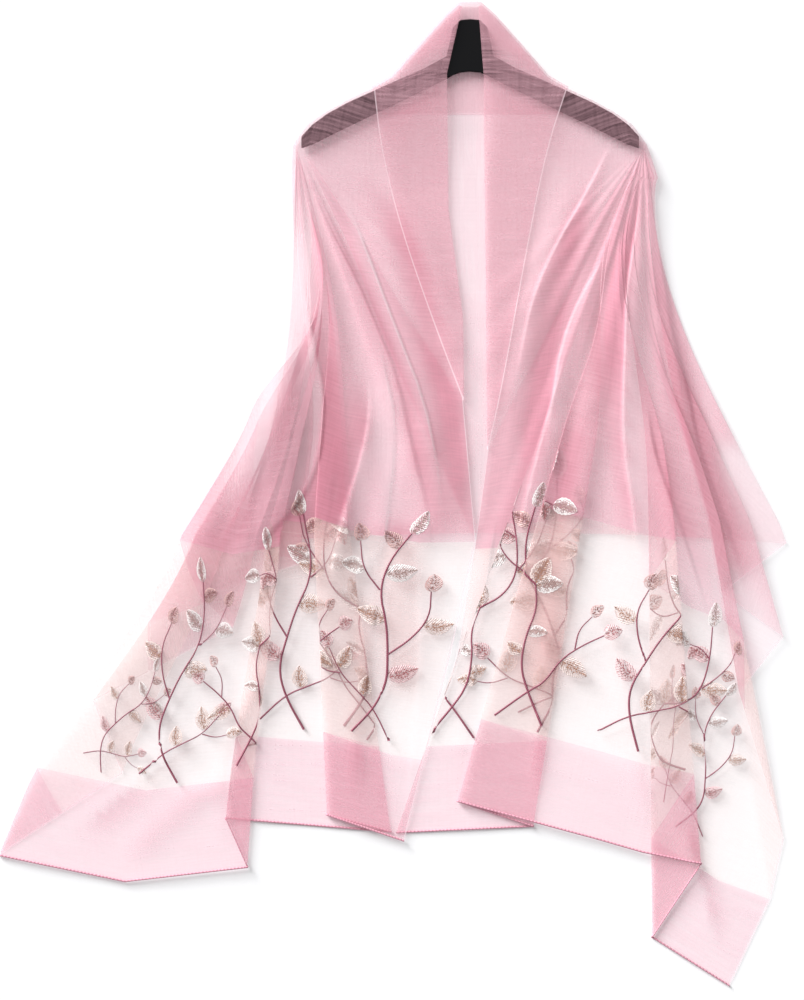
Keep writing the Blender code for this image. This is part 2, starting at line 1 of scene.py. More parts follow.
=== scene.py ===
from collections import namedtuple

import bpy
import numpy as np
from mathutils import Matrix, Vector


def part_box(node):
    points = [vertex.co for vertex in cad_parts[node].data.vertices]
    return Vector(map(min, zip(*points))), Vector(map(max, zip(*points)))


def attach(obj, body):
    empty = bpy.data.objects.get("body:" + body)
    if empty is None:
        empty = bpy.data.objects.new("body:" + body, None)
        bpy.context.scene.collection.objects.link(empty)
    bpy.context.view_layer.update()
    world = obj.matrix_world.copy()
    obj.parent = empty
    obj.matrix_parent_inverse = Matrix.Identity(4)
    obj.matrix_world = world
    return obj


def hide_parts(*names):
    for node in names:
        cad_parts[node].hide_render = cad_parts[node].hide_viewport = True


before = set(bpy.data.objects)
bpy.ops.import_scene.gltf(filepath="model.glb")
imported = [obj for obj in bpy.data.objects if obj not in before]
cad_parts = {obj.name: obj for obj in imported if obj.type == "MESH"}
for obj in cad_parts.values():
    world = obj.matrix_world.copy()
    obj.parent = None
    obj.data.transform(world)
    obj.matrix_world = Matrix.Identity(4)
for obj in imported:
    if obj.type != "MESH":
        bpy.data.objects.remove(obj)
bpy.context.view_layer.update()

# An evening stole of sheer pink silk with clear embroidered ends, arranged on a wide-shouldered hanger and
# laid flat. Sizes are in millimetres and become metres in the meshes. A point of the cloth is (across, along)
# in its cut, and a point of the laid-out stole is (out, down, up): out from the centre line, down from the
# collar's peak and up from the floor. Right is +X.

MM = 0.001


# ---- Hanger ----------------------------------------------------------------------------------------------
# One injection moulding of black polypropylene, five millimetres thick. Its mould was spark-eroded, so its
# skin has a fine grain and a broad, dull highlight, and shows deep black under the cloth.

HANGER_BLACK = "#050508"
HANGER_GRAIN_PER_M = 900
HANGER_TOP_DOWN = 19


def linear(colour):
    """An sRGB hex colour as linear red, green, blue and alpha."""
    parts = np.array([int(colour[i:i + 2], 16) for i in (1, 3, 5)]) / 255
    low, high = parts / 12.92, ((parts + 0.055) / 1.055) ** 2.4
    return (*np.where(parts <= 0.04045, low, high), 1.0)


def fill(tree, node, inputs):
    """Gives each named input of a node its value, or links it to the output of another node."""
    for name, value in inputs.items():
        if isinstance(value, bpy.types.NodeSocket):
            tree.links.new(value, node.inputs[name])
        else:
            node.inputs[name].default_value = value


def add_node(tree, kind, inputs=None, **settings):
    """Adds a node with its settings, and fills its inputs."""
    made = tree.nodes.new(kind)
    for name, value in settings.items():
        setattr(made, name, value)
    fill(tree, made, inputs or {})
    return made


def noise(tree, place, scale, detail):
    """The grey of a noise pattern."""
    inputs = {"Vector": place, "Scale": scale, "Detail": detail}
    return add_node(tree, "ShaderNodeTexNoise", inputs).outputs["Fac"]


def mapped(tree, value, reach, ends, **settings):
    """A value mapped from one range to another, and kept in it."""
    from_to = dict(zip(("From Min", "From Max", "To Min", "To Max"), (*reach, *ends)))
    return add_node(tree, "ShaderNodeMapRange", {"Value": value, **from_to}, **settings).outputs["Result"]


def bumped(tree, height, strength, distance):
    """The normal of a small relief."""
    inputs = {"Height": height, "Strength": strength, "Distance": distance}
    return add_node(tree, "ShaderNodeBump", inputs).outputs["Normal"]


def new_material(name):
    """A material with its node tree and its shader."""
    made = bpy.data.materials.new(name)
    made.use_nodes = True
    return made, made.node_tree, made.node_tree.nodes["Principled BSDF"]


def add_to_scene(name, data):
    """A new object with this mesh, light or camera."""
    made = bpy.data.objects.new(name, data)
    bpy.context.scene.collection.objects.link(made)
    return made


def moulded_polypropylene():
    """Satin black, with a fine spark-eroded grain."""
    material, tree, shader = new_material("moulded black polypropylene")
    place = add_node(tree, "ShaderNodeTexCoord").outputs["Object"]
    grain = noise(tree, place, HANGER_GRAIN_PER_M, 3)
    fill(tree, shader, {
        "Base Color": linear(HANGER_BLACK),
        "Roughness": mapped(tree, grain, (0, 1), (0.42, 0.6)),
        "IOR": 1.49,
        "Specular IOR Level": 0.2,
        "Normal": bumped(tree, grain, 0.25, 0.0001),
    })
    return material


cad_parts["hanger"].data.materials.clear()
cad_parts["hanger"].data.materials.append(moulded_polypropylene())

hanger_low, hanger_high = (np.array(corner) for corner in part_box("hanger"))
CENTRE_X = (hanger_low[0] + hanger_high[0]) / 2
PEAK_Y = hanger_high[1] + HANGER_TOP_DOWN * MM


# ---- Fronts ----------------------------------------------------------------------------------------------
# The stole is one rectangle of sheer silk, woven in one length with its clear bands. Each front is gathered
# at the tip of the hanger's arm and falls from it as a fan of flat folds. It is held only by its own weight,
# so soft creases run down from the arm through all its layers.

WIDTH = 700
HALF_LENGTH = 950
BAND_START = 610
BORDER_START = 855
HEM_WIDTH = 3
WALL = 1.0
LAYER = 1.8
FLOOR_LAYER = WALL / 2
FOLD_BEND = 1.1
FOLD_SPREAD = 1.2
MOST_BEND = 0.35
CLIMBS_FROM, CLIMBS_TO = 40, 165
FOLDS_FROM, FOLDS_TO = 90, 330
FRONT_RISE = 7.0
RISE_RUN = 110
ARM_AXIS = ((0, 62), (110, 108), (185, 150))
ARM_HALF_HEIGHT = 14
NECK_AXIS = ((0, 38), (0, 62))
NECK_HALF_WIDTH = 20
BACK_BOTTOM = 600
PEAK = (10, 5)
SHOULDER_OUT = (10, 25, 48, 83, 105, 135, 158, 177, 192)
SHOULDER_LOWER = (0, 1, 7, 18, 12, 1, -6, -9, 0)
SHOULDER_FADE = 110
SIDE_CURVE_FADE = 150
BOW_TOP, WAIST_TOP, WAIST_BOTTOM, BOW_BOTTOM = 160, 500, 600, 880
BOW_END = 4
FRONT_COLUMN_STEP = 5
FRONT_ROWS = 120
MOST_GATHERED = 1.8
LEAST_GATHERED = 0.4
ON_ARM_GATHERED = 0.85
OFF_ARM_RUN = 16
GATHER_WAVES = ((17, 0.6), (29, 2.1), (41, 4.0))
GATHER_DEPTH = 0.016
GATHER_HEIGHT = 2.1
GATHER_CLOSE = 0.35
GATHERS_RISE = 60
GATHERS_END = 330
GATHERS_TO_ANGLE, GATHERS_FADE_ANGLE = 148, 38
RAYS_END = 760
PLEATS_ROUND = 52
PLEATS_RISE = 110
PLEATED = 0.22

# Each fold ends at the cloth's edge: where that is on the cloth, where it lies, the number of the layer on
# either side of it, how many layers it sinks where what is under it ends, and how far its ray bows inwards.
Fold = namedtuple("Fold", "name across along out down under over sinks bow", defaults=(0,))

RIGHT_FOLDS = (
    Fold("side edge", 700, 355, 350, 600, 1, 1, 1),
    Fold("tuck 1", 700, 438, 279, 654, 1, 2, 1),
    Fold("pleat 1", 700, 523, 347, 703, 2, 3, 2),
    Fold("tuck 2", 700, 585, 298, 765, 3, 4, 3),
    Fold("pleat 2", 700, 776, 348, 928, 4, 5, 4),
    Fold("border corner", 700, 855, 333, 995, 5, 5, 5),
    Fold("outer corner", 700, 950, 288, 1091, 5, 5, 5),
    Fold("tuck 3", 605, 950, 202, 1037, 5, 6, 5),
    Fold("pleat 3", 511, 950, 256, 955, 6, 7, 5),
    Fold("top panel, outer", 446, 950, 191, 942, 7, 7, 5),
    Fold("top panel, middle", 390, 950, 135, 926, 5.6, 5.6, 3.7),
    Fold("pleat 4", 240, 950, -14, 886, 3, 2, 1),
    Fold("tuck 4", 151, 950, 70, 914, 2, 1, 1),
    Fold("inner corner", 0, 950, -82, 921, 1, 1, 1),
    Fold("inner edge, low", 0, 722, -14, 725, 1, 1, 1),
    Fold("inner edge, high", 0, 610, 5, 606, 1, 1, 1),
    Fold("roll foot", 0, 500, 20, 496, 1, 1, 0),
    Fold("roll middle", 50, 298, 18, 288, 1, 1, 0),
    Fold("roll head", 100, 96, 16, 80, 1, 1, 0),
    Fold("peak", 100, 16, 10, 5, 1, 1, 0),
)

LEFT_FOLDS = (
    Fold("side edge", 700, 256, 259, 600, 1, 1, 1),
    Fold("tuck 1", 700, 334, 186, 622, 1, 2, 1),
    Fold("pleat 1", 700, 454, 300, 658, 2, 3, 2, 24),
    Fold("tuck 2", 700, 504, 263, 693, 3, 4, 3, 20),
    Fold("pleat 2", 700, 679, 418, 774, 4, 5, 4, 50),
    Fold("tuck 3", 700, 767, 386, 855, 5, 6, 5, 44),
    Fold("border corner", 700, 855, 452, 899, 6, 6, 6, 46),
    Fold("outer corner", 700, 950, 523, 946, 6, 7, 6, 54),
    Fold("top panel", 560, 950, 383, 975, 7, 7, 6, 35),
    Fold("pleat 3", 422, 950, 247, 959, 6, 5, 4, 12),
    Fold("tuck 4", 362, 950, 271, 905, 5, 4, 4, 12),
    Fold("tuck 5", 179, 950, 88, 920, 3, 4, 3),
    Fold("pleat 4", 105, 950, 159, 901, 4, 5, 3),
    Fold("inner corner", 0, 950, 73, 930, 5, 5, 3),
    Fold("inner edge, low", 0, 722, 20, 715, 3, 3, 2),
    Fold("inner edge, high", 0, 610, -6, 598, 2.4, 2.4, 1.2),
    Fold("roll foot", 0, 450, 8, 441, 1, 1, 0),
    Fold("roll low", 25, 361, 9, 350, 1, 1, 0),
    Fold("roll middle", 58, 244, 25, 230, 1, 1, 0),
    Fold("roll head", 100, 96, 27, 79, 1, 1, 0),
    Fold("peak", 100, 16, 10, 5, 1, 1, 0),
)

# The side edge curves in from the straight line between the arm's tip and the corner below.
SideCurve = namedtuple("SideCurve", "depth top bottom skew")
Side = namedtuple("Side", "name sign cloth_tip laid_tip folds curve sinks sink_run lapel")
RIGHT = Side("right", 1, (261, 196), (192, 160), RIGHT_FOLDS, SideCurve(29, 195, 575, 0.75), 5, 460,
             ((35, 430), (63, 274), (85, 163)))
LEFT = Side("left", -1, (261, 187), (192, 160), LEFT_FOLDS, SideCurve(24, 160, 590, 1.2), 6, 350,
            ((38, 363), (77, 252), (99, 163)))
SIDES = (RIGHT, LEFT)

# Soft creases that all the layers share, smoothed in. Each runs down a line of points (x, down, half
# width), with x to the right. Along it the cloth is deeper or paler by a share of a layer. A crease has a
# crisp edge on its left (-1), its right (1) or neither (0), and fades out elsewhere. It is a ridge of this
# lift, or where that is below nothing, a hollow that a ridge overhangs. A thin line may shine along it.
# The deeper bands are partly more cloth in a fold and partly painted shade, the paler ones partly less cloth
# and partly painted highlight, and the thin shining line is a painted highlight.
Crease = namedtuple("Crease", "deeper edge lift shine line")
CREASES = (
    Crease(0.7, -1, -2.5, 0, ((-177, 203, 4), (-157, 250, 8), (-125, 311, 12), (-103, 363, 14),
                              (-82, 413, 16), (-62, 506, 18), (-48, 561, 16), (-40, 640, 14))),
    Crease(-0.4, 1, 3, 0.8, ((-143, 205, 6), (-117, 270, 10), (-82, 363, 12), (-51, 441, 12),
                             (-36, 514, 12), (-29, 590, 10))),
    Crease(0.8, 0, -1.5, 0, ((-119, 187, 8), (-91, 230, 11), (-67, 283, 13), (-47, 363, 13), (-30, 421, 12),
                             (-20, 475, 12), (-12, 530, 11), (-8, 600, 10))),
    Crease(-0.35, 1, 2.5, 0.7, ((-103, 371, 6), (-92, 421, 8), (-84, 456, 10), (-85, 511, 12),
                                (-90, 556, 13), (-97, 613, 12), (-128, 640, 10), (-141, 680, 9))),
    Crease(0.95, 1, 0, 0, ((-118, 400, 14), (-114, 455, 22), (-122, 505, 28), (-138, 556, 30),
                           (-166, 612, 28), (-200, 700, 20))),
    Crease(-0.35, -1, 3, 0, ((-112, 410, 9), (-109, 455, 13), (-119, 505, 15), (-135, 556, 15),
                             (-150, 610, 13), (-160, 680, 11))),
    Crease(0.6, -1, -2, 0.2, ((-190, 280, 4), (-173, 382, 9), (-162, 432, 13), (-164, 477, 16),
                              (-169, 511, 18), (-184, 547, 20), (-225, 591, 22), (-262, 640, 20))),
    Crease(-0.8, 1, 0, 0, ((-184, 150, 12), (-176, 240, 15), (-180, 340, 18), (-164, 432, 24),
                           (-166, 477, 30), (-186, 547, 36), (-228, 591, 34), (-280, 650, 24))),
    Crease(0.45, 0, -1, 0, ((-200, 400, 7), (-206, 470, 11), (-232, 540, 13), (-290, 620, 14),
                            (-350, 690, 12))),
    Crease(0.45, 1, 1.5, 0.3, ((-100, 640, 9), (-112, 720, 12), (-120, 800, 13), (-124, 900, 12))),
    Crease(-0.3, -1, 1.5, 0.3, ((-60, 600, 8), (-54, 700, 10), (-60, 800, 12), (-74, 915, 10))),
    Crease(0.45, 1, 1.5, 0.2, ((-190, 690, 9), (-240, 770, 13), (-270, 840, 14), (-262, 940, 12))),
    Crease(0.7, -1, -2, 0, ((-290, 800, 12), (-360, 860, 18), (-450, 930, 16))),
    Crease(0.5, 0, 1.5, 0, ((-250, 850, 10), (-330, 900, 14), (-390, 960, 12))),
    Crease(1.6, 0, 0, 0, ((-84, 560, 22), (-80, 660, 34), (-74, 800, 26))),
    Crease(0.45, -1, 2.5, 0.5, ((162, 144, 3), (153, 164, 5), (130, 210, 9), (97, 266, 11), (75, 312, 12),
                                (62, 357, 12), (50, 430, 10))),
    Crease(-0.35, -1, 2, 0.6, ((153, 275, 5), (123, 325, 9), (101, 380, 11), (91, 441, 11), (84, 500, 9))),
    Crease(-0.3, -1, 2, 0.6, ((107, 382, 5), (93, 436, 9), (77, 492, 11), (58, 568, 11), (44, 640, 9))),
    Crease(0.8, 1, 0, 0, ((191, 165, 4), (189, 221, 9), (180, 278, 12), (173, 323, 14), (171, 380, 15),
                          (169, 445, 15), (170, 496, 15), (178, 547, 13), (185, 608, 12), (199, 700, 10))),
    Crease(-0.5, -1, 3, 0.5, ((191, 165, 6), (189, 221, 14), (180, 278, 18), (173, 323, 20), (171, 380, 22),
                              (169, 445, 22), (170, 496, 20), (178, 547, 16), (185, 608, 14),
                              (199, 700, 12))),
    Crease(0.8, 0, -2, 0, ((140, 190, 9), (108, 273, 12), (87, 369, 14), (77, 436, 13), (68, 498, 12),
                           (60, 570, 10))),
    Crease(0.5, 0, -1.5, 0, ((182, 225, 7), (175, 266, 9), (158, 334, 11), (150, 430, 11), (142, 500, 10))),
    Crease(0.8, 0, -2, 0, ((126, 445, 9), (118, 483, 12), (104, 537, 14), (97, 590, 13), (92, 660, 10))),
    Crease(0.55, -1, -2, 0, ((194, 440, 6), (202, 496, 9), (219, 547, 11), (241, 608, 13), (266, 690, 13))),
    Crease(0.55, -1, -2, 0, ((206, 310, 5), (225, 369, 8), (241, 434, 10), (251, 490, 11), (270, 547, 13),
                             (292, 608, 13), (318, 700, 12))),
    Crease(-0.35, 0, 1.5, 0, ((150, 410, 8), (129, 465, 11), (124, 526, 12), (118, 600, 10))),
    Crease(0.45, 1, 1.5, 0.3, ((30, 560, 7), (16, 660, 11), (2, 760, 12), (-8, 880, 11))),
    Crease(0.45, -1, 1.5, 0.3, ((92, 640, 8), (80, 720, 12), (74, 800, 13), (70, 905, 12))),
    Crease(0.45, 1, 1.5, 0.3, ((150, 620, 9), (170, 740, 13), (196, 850, 14), (214, 960, 12))),
    Crease(-0.3, 0, 1.5, 0, ((240, 660, 12), (280, 780, 16), (318, 900, 14))),
    Crease(1.2, 0, 0, 0, ((66, 560, 20), (78, 660, 32), (92, 800, 26))),
    Crease(-1.1, 0, 0, 0, ((-196, 230, 12), (-205, 330, 20), (-214, 430, 28), (-236, 530, 32),
                           (-262, 600, 26))),
    Crease(-0.9, 0, 0, 0, ((270, 470, 14), (316, 550, 26), (348, 600, 32), (372, 660, 26))),
    Crease(-0.8, 0, 0, 0, ((280, 610, 16), (318, 680, 26), (344, 720, 26), (366, 770, 20))),
    Crease(0.6, -1, -2, 0, ((236, 900, 10), (262, 990, 14), (276, 1060, 12))),
)
CRISP = 1.4
CREASE_FADES_IN, CREASE_FADES_OUT = 0.22, 0.3
UNEVEN = 0.22


def smooth(x):
    """Eases from 0 to 1 as x goes from 0 to 1."""
    x = np.clip(x, 0, 1)
    return x * x * (3 - 2 * x)


def rounded(points, times=3):
    """A chain of points with its corners cut, so that it is a smooth curve with the same ends."""
    points = np.asarray(points, float)
    for _ in range(times):
        quarter = points[:-1] * 0.75 + points[1:] * 0.25
        far = points[:-1] * 0.25 + points[1:] * 0.75
        inner = np.stack((quarter, far), 1).reshape(-1, points.shape[1])
        points = np.concatenate((points[:1], inner, points[-1:]))
    return points


def waist(down):
    """1 at the waist that some rays bow in to, and nothing far above and below it."""
    above = smooth((down - BOW_TOP) / (WAIST_TOP - BOW_TOP))
    return above * smooth((BOW_BOTTOM - down) / (BOW_BOTTOM - WAIST_BOTTOM))


def distance_to_chain(out, down, chain):
    """The distance of each point from a chain of straight runs."""
    nearest = np.full(np.shape(out), np.inf)
    for (x0, y0), (x1, y1) in zip(chain, chain[1:]):
        run = np.array((x1 - x0, y1 - y0), float)
        along = np.clip(((out - x0) * run[0] + (down - y0) * run[1]) / run.dot(run), 0, 1)
        nearest = np.minimum(nearest, np.hypot(out - x0 - along * run[0], down - y0 - along * run[1]))
    return nearest


def front_rise(out, down):
    """How far the hanger lifts the cloth that lies over it: a hump that eases to nothing round the arms."""
    arm = distance_to_chain(np.abs(out), down, ARM_AXIS) - ARM_HALF_HEIGHT
    neck = distance_to_chain(np.abs(out), down, NECK_AXIS) - NECK_HALF_WIDTH
    return FRONT_RISE * smooth(1 - np.minimum(arm, neck) / RISE_RUN)


def beside_line(x, down, line):
    """For each point, how far it is to the right of the nearest place on a line, the line's half width there,
    and that place's share of the way down the line."""
    curve = rounded(line, 1)
    start, run = curve[:-1], np.diff(curve, axis=0)
    length = np.hypot(run[:, 0], run[:, 1])
    from_x, from_down = x[..., None] - start[:, 0], down[..., None] - start[:, 1]
    share = np.clip((from_x * run[:, 0] + from_down * run[:, 1]) / length ** 2, 0, 1)
    away = np.hypot(from_x - share * run[:, 0], from_down - share * run[:, 1])
    nearest = np.argmin(away, -1)[..., None]
    right = np.sign(from_x * run[:, 1] - from_down * run[:, 0])
    passed = (np.cumsum(length) - length + share * length) / length.sum()
    widths = start[:, 2] + share * run[:, 2]
    return [np.take_along_axis(v, nearest, -1)[..., 0] for v in (away * right, widths, passed)]


def bell(aside, width, edge):
    """1 on the line, easing to nothing at twice the half width, and at once past a crisp edge."""
    reach = np.where(aside * edge > 0, CRISP, width)
    return smooth(1 - np.abs(aside) / (2 * reach))


def ridge(aside, width, edge, lift):
    """A ridge over the line. For a hollow it stands on the other side of the crisp edge, or on both sides."""
    if lift >= 0:
        return lift * bell(aside, width, edge)
    if edge:
        return -lift * bell(-aside, width, edge)
    return -lift * smooth(1 - np.abs(np.abs(aside) - 2 * width) / (1.6 * width))


def creases_at(x, down):
    """The creases added up, each times an easing towards both of its ends: their height, and how much closer
    the cloth is in them, which is partly painted shade and painted highlight. Then the distance from the
    nearest shining line, a painted highlight, and how much it shines."""
    height, close, shine = np.zeros((3,) + np.shape(x))
    beside = np.full(np.shape(x), 99.0)
    for crease in CREASES:
        aside, width, passed = beside_line(x, down, crease.line)
        fade = smooth(passed / CREASE_FADES_IN) * smooth((1 - passed) / CREASE_FADES_OUT)
        height += fade * ridge(aside, width, crease.edge, crease.lift)
        close += fade * crease.deeper * bell(aside, width, crease.edge)
        nearer = (np.abs(aside) < beside) & (crease.shine > 0)
        beside = np.where(nearer, np.abs(aside), beside)
        shine = np.where(nearer, crease.shine * fade, shine)
    return height, close, beside, shine


def below_arm(angle):
    """1 below the arm's tip, and nothing towards the neck, where the cloth is laid out smooth."""
    return smooth((GATHERS_TO_ANGLE - np.degrees(angle) % 360) / GATHERS_FADE_ANGLE)


def gathers_at(x, down):
    """Gathers that run out from each arm's tip: waves of the angle round it, added up. Their height is a
    share of the distance from the tip, and dies out further down. Also how much closer the cloth is on a
    crest."""
    height, close = 0, 0
    for side in SIDES:
        aside, below = side.sign * x - side.laid_tip[0], down - side.laid_tip[1]
        reach, angle = np.hypot(aside, below), np.arctan2(below, aside)
        waves = sum(np.sin(n * angle + turn + side.sign) for n, turn in GATHER_WAVES)
        crest = smooth(0.5 + waves / len(GATHER_WAVES) / 1.3)
        rise = smooth(reach / GATHERS_RISE) * below_arm(angle)
        steep = GATHER_DEPTH * reach * smooth((GATHERS_END - reach) / (GATHERS_END - GATHERS_RISE))
        height = height + rise * crest * (steep + GATHER_HEIGHT * smooth((RAYS_END - reach) / 300))
        close = close + rise * crest ** 2 * GATHER_CLOSE * smooth((RAYS_END - reach) / 400)
    return height, close


def relief(x, down):
    """The creases and the gathers added up, with a faint unevenness of three crossed waves below the arms."""
    waves = np.sin(x / 31 + down / 87) + np.sin(x / 19 - down / 140 + 2) + np.sin(down / 43 + x / 66 + 4)
    uneven = UNEVEN * (waves + 3) * smooth((down - 150) / 200)
    return creases_at(x, down)[0] + gathers_at(x, down)[0] + uneven


class Fan:
    """One front as a fan: fold number k picks a ray from the arm's tip, and r the share of its length."""

    def __init__(self, side):
        self.side = side
        self.cloth = np.array([(f.across, f.along) for f in side.folds], float)
        self.laid = np.array([(f.out, f.down) for f in side.folds], float)
        self.under = np.array([f.under for f in side.folds], float)
        self.over = np.array([f.over for f in side.folds], float)
        self.sinks = np.array([f.sinks for f in side.folds], float)
        self.bow = np.array([f.bow for f in side.folds], float)
        self.cloth_tip = np.array(side.cloth_tip, float)
        self.tip = np.array(side.laid_tip, float)
        self.last = len(side.folds) - 1
        self.corner = [f.name for f in side.folds].index("inner corner")
        self.open = self.open_rays()

    def open_rays(self):
        """Each ray near the tip, where the cloth is gathered and not yet folded: turned evenly by its angle
        on the cloth."""
        cloth, laid = self.cloth - self.cloth_tip, self.laid - self.tip
        on_cloth = np.arctan2(cloth[:, 1], cloth[:, 0])
        as_laid = np.arctan2(laid[:, 1], laid[:, 0])
        ends = [0, self.corner]
        angle = np.interp(on_cloth, on_cloth[ends], as_laid[ends])
        reach = np.hypot(cloth[:, 0], cloth[:, 1])
        rays = np.stack((reach * np.cos(angle), reach * np.sin(angle)), 1)
        rays[self.corner + 1:] = laid[self.corner + 1:]
        return rays

    def mix(self, values, k):
        """A column of the fold table at a fold number with a fraction."""
        numbers = np.arange(len(self.cloth))
        if values.ndim == 1:
            return np.interp(k, numbers, values)
        return np.stack([np.interp(k, numbers, v) for v in values.T], -1)

    def on_cloth(self, k, r):
        """The point of the cut: the tip plus a share of the way to the fold's end."""
        return self.cloth_tip + np.asarray(r)[..., None] * (self.mix(self.cloth, k) - self.cloth_tip)

    def reach(self, k, r):
        """The distance from the tip, on the cloth."""
        return np.linalg.norm(self.on_cloth(k, r) - self.cloth_tip, axis=-1)

    def layer(self, k):
        """The layer number between two folds, which jumps at each fold."""
        fold = np.clip(np.floor(k).astype(int), 0, self.last - 1)
        share = k - fold
        return self.over[fold] * (1 - share) + self.under[fold + 1] * share

    def plan(self, k, r):
        """Where a point lies from above: the tip plus a share of the open ray, which turns into the folded
        ray further out, and bows."""
        folded = smooth((self.reach(k, r) - FOLDS_FROM) / (FOLDS_TO - FOLDS_FROM))[..., None]
        ray = (1 - folded) * self.mix(self.open, k) + folded * (self.mix(self.laid, k) - self.tip)
        point = self.tip + np.asarray(r)[..., None] * ray
        point[..., 0] -= self.bowed(k, r, point[..., 1])
        return self.curved(point)

    def bowed(self, k, r, down):
        """How far a ray bows inwards at a waist, less what is left of it at the ray's end."""
        left = np.asarray(r) ** BOW_END * waist(self.mix(self.laid[:, 1], k))
        return self.mix(self.bow, k) * (waist(down) - left)

    def curved(self, point):
        """Curves the side and the shoulder line in or out, and fades that out over the inner cloth."""
        out, down = point[..., 0], point[..., 1]
        curve, corner = self.side.curve, self.laid[0]
        share = np.clip((down - curve.top) / (curve.bottom - curve.top), 0, 1)
        edge = self.tip[0] + (down - self.tip[1]) * (corner[0] - self.tip[0]) / (corner[1] - self.tip[1])
        inwards = curve.depth * np.sin(np.pi * share ** curve.skew)
        inwards = inwards * smooth(1 - (edge - out) / SIDE_CURVE_FADE)
        line = PEAK[1] + (out - PEAK[0]) * (self.tip[1] - PEAK[1]) / (self.tip[0] - PEAK[0])
        lower = np.interp(out, SHOULDER_OUT, SHOULDER_LOWER) * smooth(1 - (down - line) / SHOULDER_FADE)
        return np.stack((out - inwards, down + lower), -1)

    def height(self, k, r, plan):
        """Up from the floor: the layer, less what it sinks below the back's edge, plus the hanger's hump."""
        climbed = smooth((self.reach(k, r) - CLIMBS_FROM) / (CLIMBS_TO - CLIMBS_FROM))
        sunk = self.side.sinks * smooth((plan[..., 1] - BACK_BOTTOM) / self.side.sink_run)
        layers = 1 + climbed * (self.layer(k) - 1) - np.minimum(sunk, self.mix(self.sinks, k))
        return FLOOR_LAYER + LAYER * layers + front_rise(plan[..., 0], plan[..., 1])

    def at(self, k, r):
        """A point of the flat cloth between the folds' bends."""
        plan = self.plan(k, r)
        return np.concatenate((plan, self.height(k, r, plan)[..., None]), -1)

    def share_at(self, k, along):
        """The share of ray k at which the cloth is this far along, at most its whole length."""
        end = self.mix(self.cloth[:, 1], k)
        return np.clip((along - self.cloth_tip[1]) / np.maximum(end - self.cloth_tip[1], 1), 0, 1)

    def bent(self, k, bend, span, shares):
        """A grid of points, a row for each share of the way between two distances along the cloth. At a fold,
        each row turns on a half ellipse from the cloth just before the fold to the cloth just after it."""
        r = self.rows(k, span, shares)
        ends = []
        for way in (-1, 1):
            near = np.clip(k + way, 0, self.last).astype(int)
            step = np.linalg.norm(self.laid[near] - self.mix(self.laid, k), axis=-1)
            half = np.minimum(MOST_BEND, FOLD_SPREAD * FOLD_BEND / np.maximum(r * step, 0.001))
            shifted = np.where(bend <= 90, k + way * half, k * np.ones_like(r))
            ends.append(self.at(shifted, self.rows(shifted, span, shares)))
        before, after = ends
        middle = (before + after) / 2
        turn = np.concatenate((self.plan(k * np.ones_like(r), r), middle[..., 2:]), -1)
        angle = np.radians(np.where(bend <= 90, bend, 0))[:, None]
        return middle + (turn - middle) * np.cos(angle) + (after - before) / 2 * np.sin(angle)

    def rows(self, k, span, shares):
        """The shares of the rays at each row between two distances along the cloth."""
        start = self.share_at(k, span[0]) * (span[0] > 0)
        return start + (self.share_at(k, span[1]) - start) * shares

    def columns(self, first, last, step):
        """Fold numbers of the columns, and their bends from -90 to 90 degrees round a fold. Past 90 is
        flat."""
        numbers, bends = [first], [FLAT]
        for fold in range(int(first), int(np.ceil(last))):
            ends = np.clip((fold, fold + 1), first, last)
            width = np.linalg.norm(np.diff(self.mix(self.laid, ends), axis=0))
            inner = np.linspace(*ends, max(3, int(width / step)) + 1)[1:-1]
            turns = fold + 1 < last and self.under[fold + 1] != self.over[fold + 1]
            numbers += [*inner, *[ends[1]] * (len(FOLD_ANGLES) if turns else 1)]
            bends += [*[FLAT] * len(inner), *(FOLD_ANGLES if turns else [FLAT])]
        return np.array(numbers, float), np.array(bends, float)

    def fold_at(self, along, outer):
        """The fold number on the outer or the inner long edge where the cloth is this far along."""
        numbers = np.nonzero(self.cloth[:, 0] == (WIDTH if outer else 0))[0]
        order = numbers if outer else numbers[::-1]
        return float(np.interp(along, self.cloth[order, 1], order))


FOLD_ANGLES = list(np.linspace(-90, 90, 7))
FLAT = 99
FANS = [Fan(side) for side in SIDES]


def in_row_frame(points, sign):
    """(out, down, up) in millimetres as (x, y, z) in metres, with the creases added."""
    x, down = sign * points[..., 0], points[..., 1]
    up = points[..., 2] + relief(x, down)
    return np.stack((CENTRE_X + x * MM, PEAK_Y - down * MM, up * MM), -1)


def gathered(points, cloth):
    """How much cloth lies in a unit of the sheet: the area in the cut over the area of the sheet."""
    flat = np.concatenate((cloth, np.zeros(cloth.shape[:2] + (1,))), -1)
    areas = []
    for grid in (flat, points):
        face = np.cross(grid[1:, 1:] - grid[:-1, :-1], grid[1:, :-1] - grid[:-1, 1:])
        areas.append(np.linalg.norm(face, axis=-1) + 0.01)
    ratio = np.pad(np.clip(areas[0] / areas[1], 1, MOST_GATHERED), 1, mode="edge")
    return (ratio[1:, 1:] + ratio[:-1, :-1] + ratio[1:, :-1] + ratio[:-1, 1:]) / 4


def pleats_at(x, down, side):
    """Fine pleats between the gathers: their number counted round the arm's tip, with an uneven step, and
    how strong they are, which differs from ray to ray and fades at both ends."""
    aside, below = side.sign * x - side.laid_tip[0], down - side.laid_tip[1]
    reach, angle = np.hypot(aside, below), np.arctan2(below, aside)
    number = PLEATS_ROUND / (2 * np.pi) * (angle + 0.02 * np.sin(9 * angle + reach / 160)
                                           + 0.012 * np.sin(31 * angle + side.sign))
    uneven = 0.5 + 0.5 * np.sin(13 * angle + 2 * side.sign) * np.sin(29 * angle + reach / 240)
    fade = smooth((reach - 40) / PLEATS_RISE) * smooth((RAYS_END - reach) / 380) * below_arm(angle)
    return number + 20, fade * PLEATED * (0.15 + 0.85 * uneven)


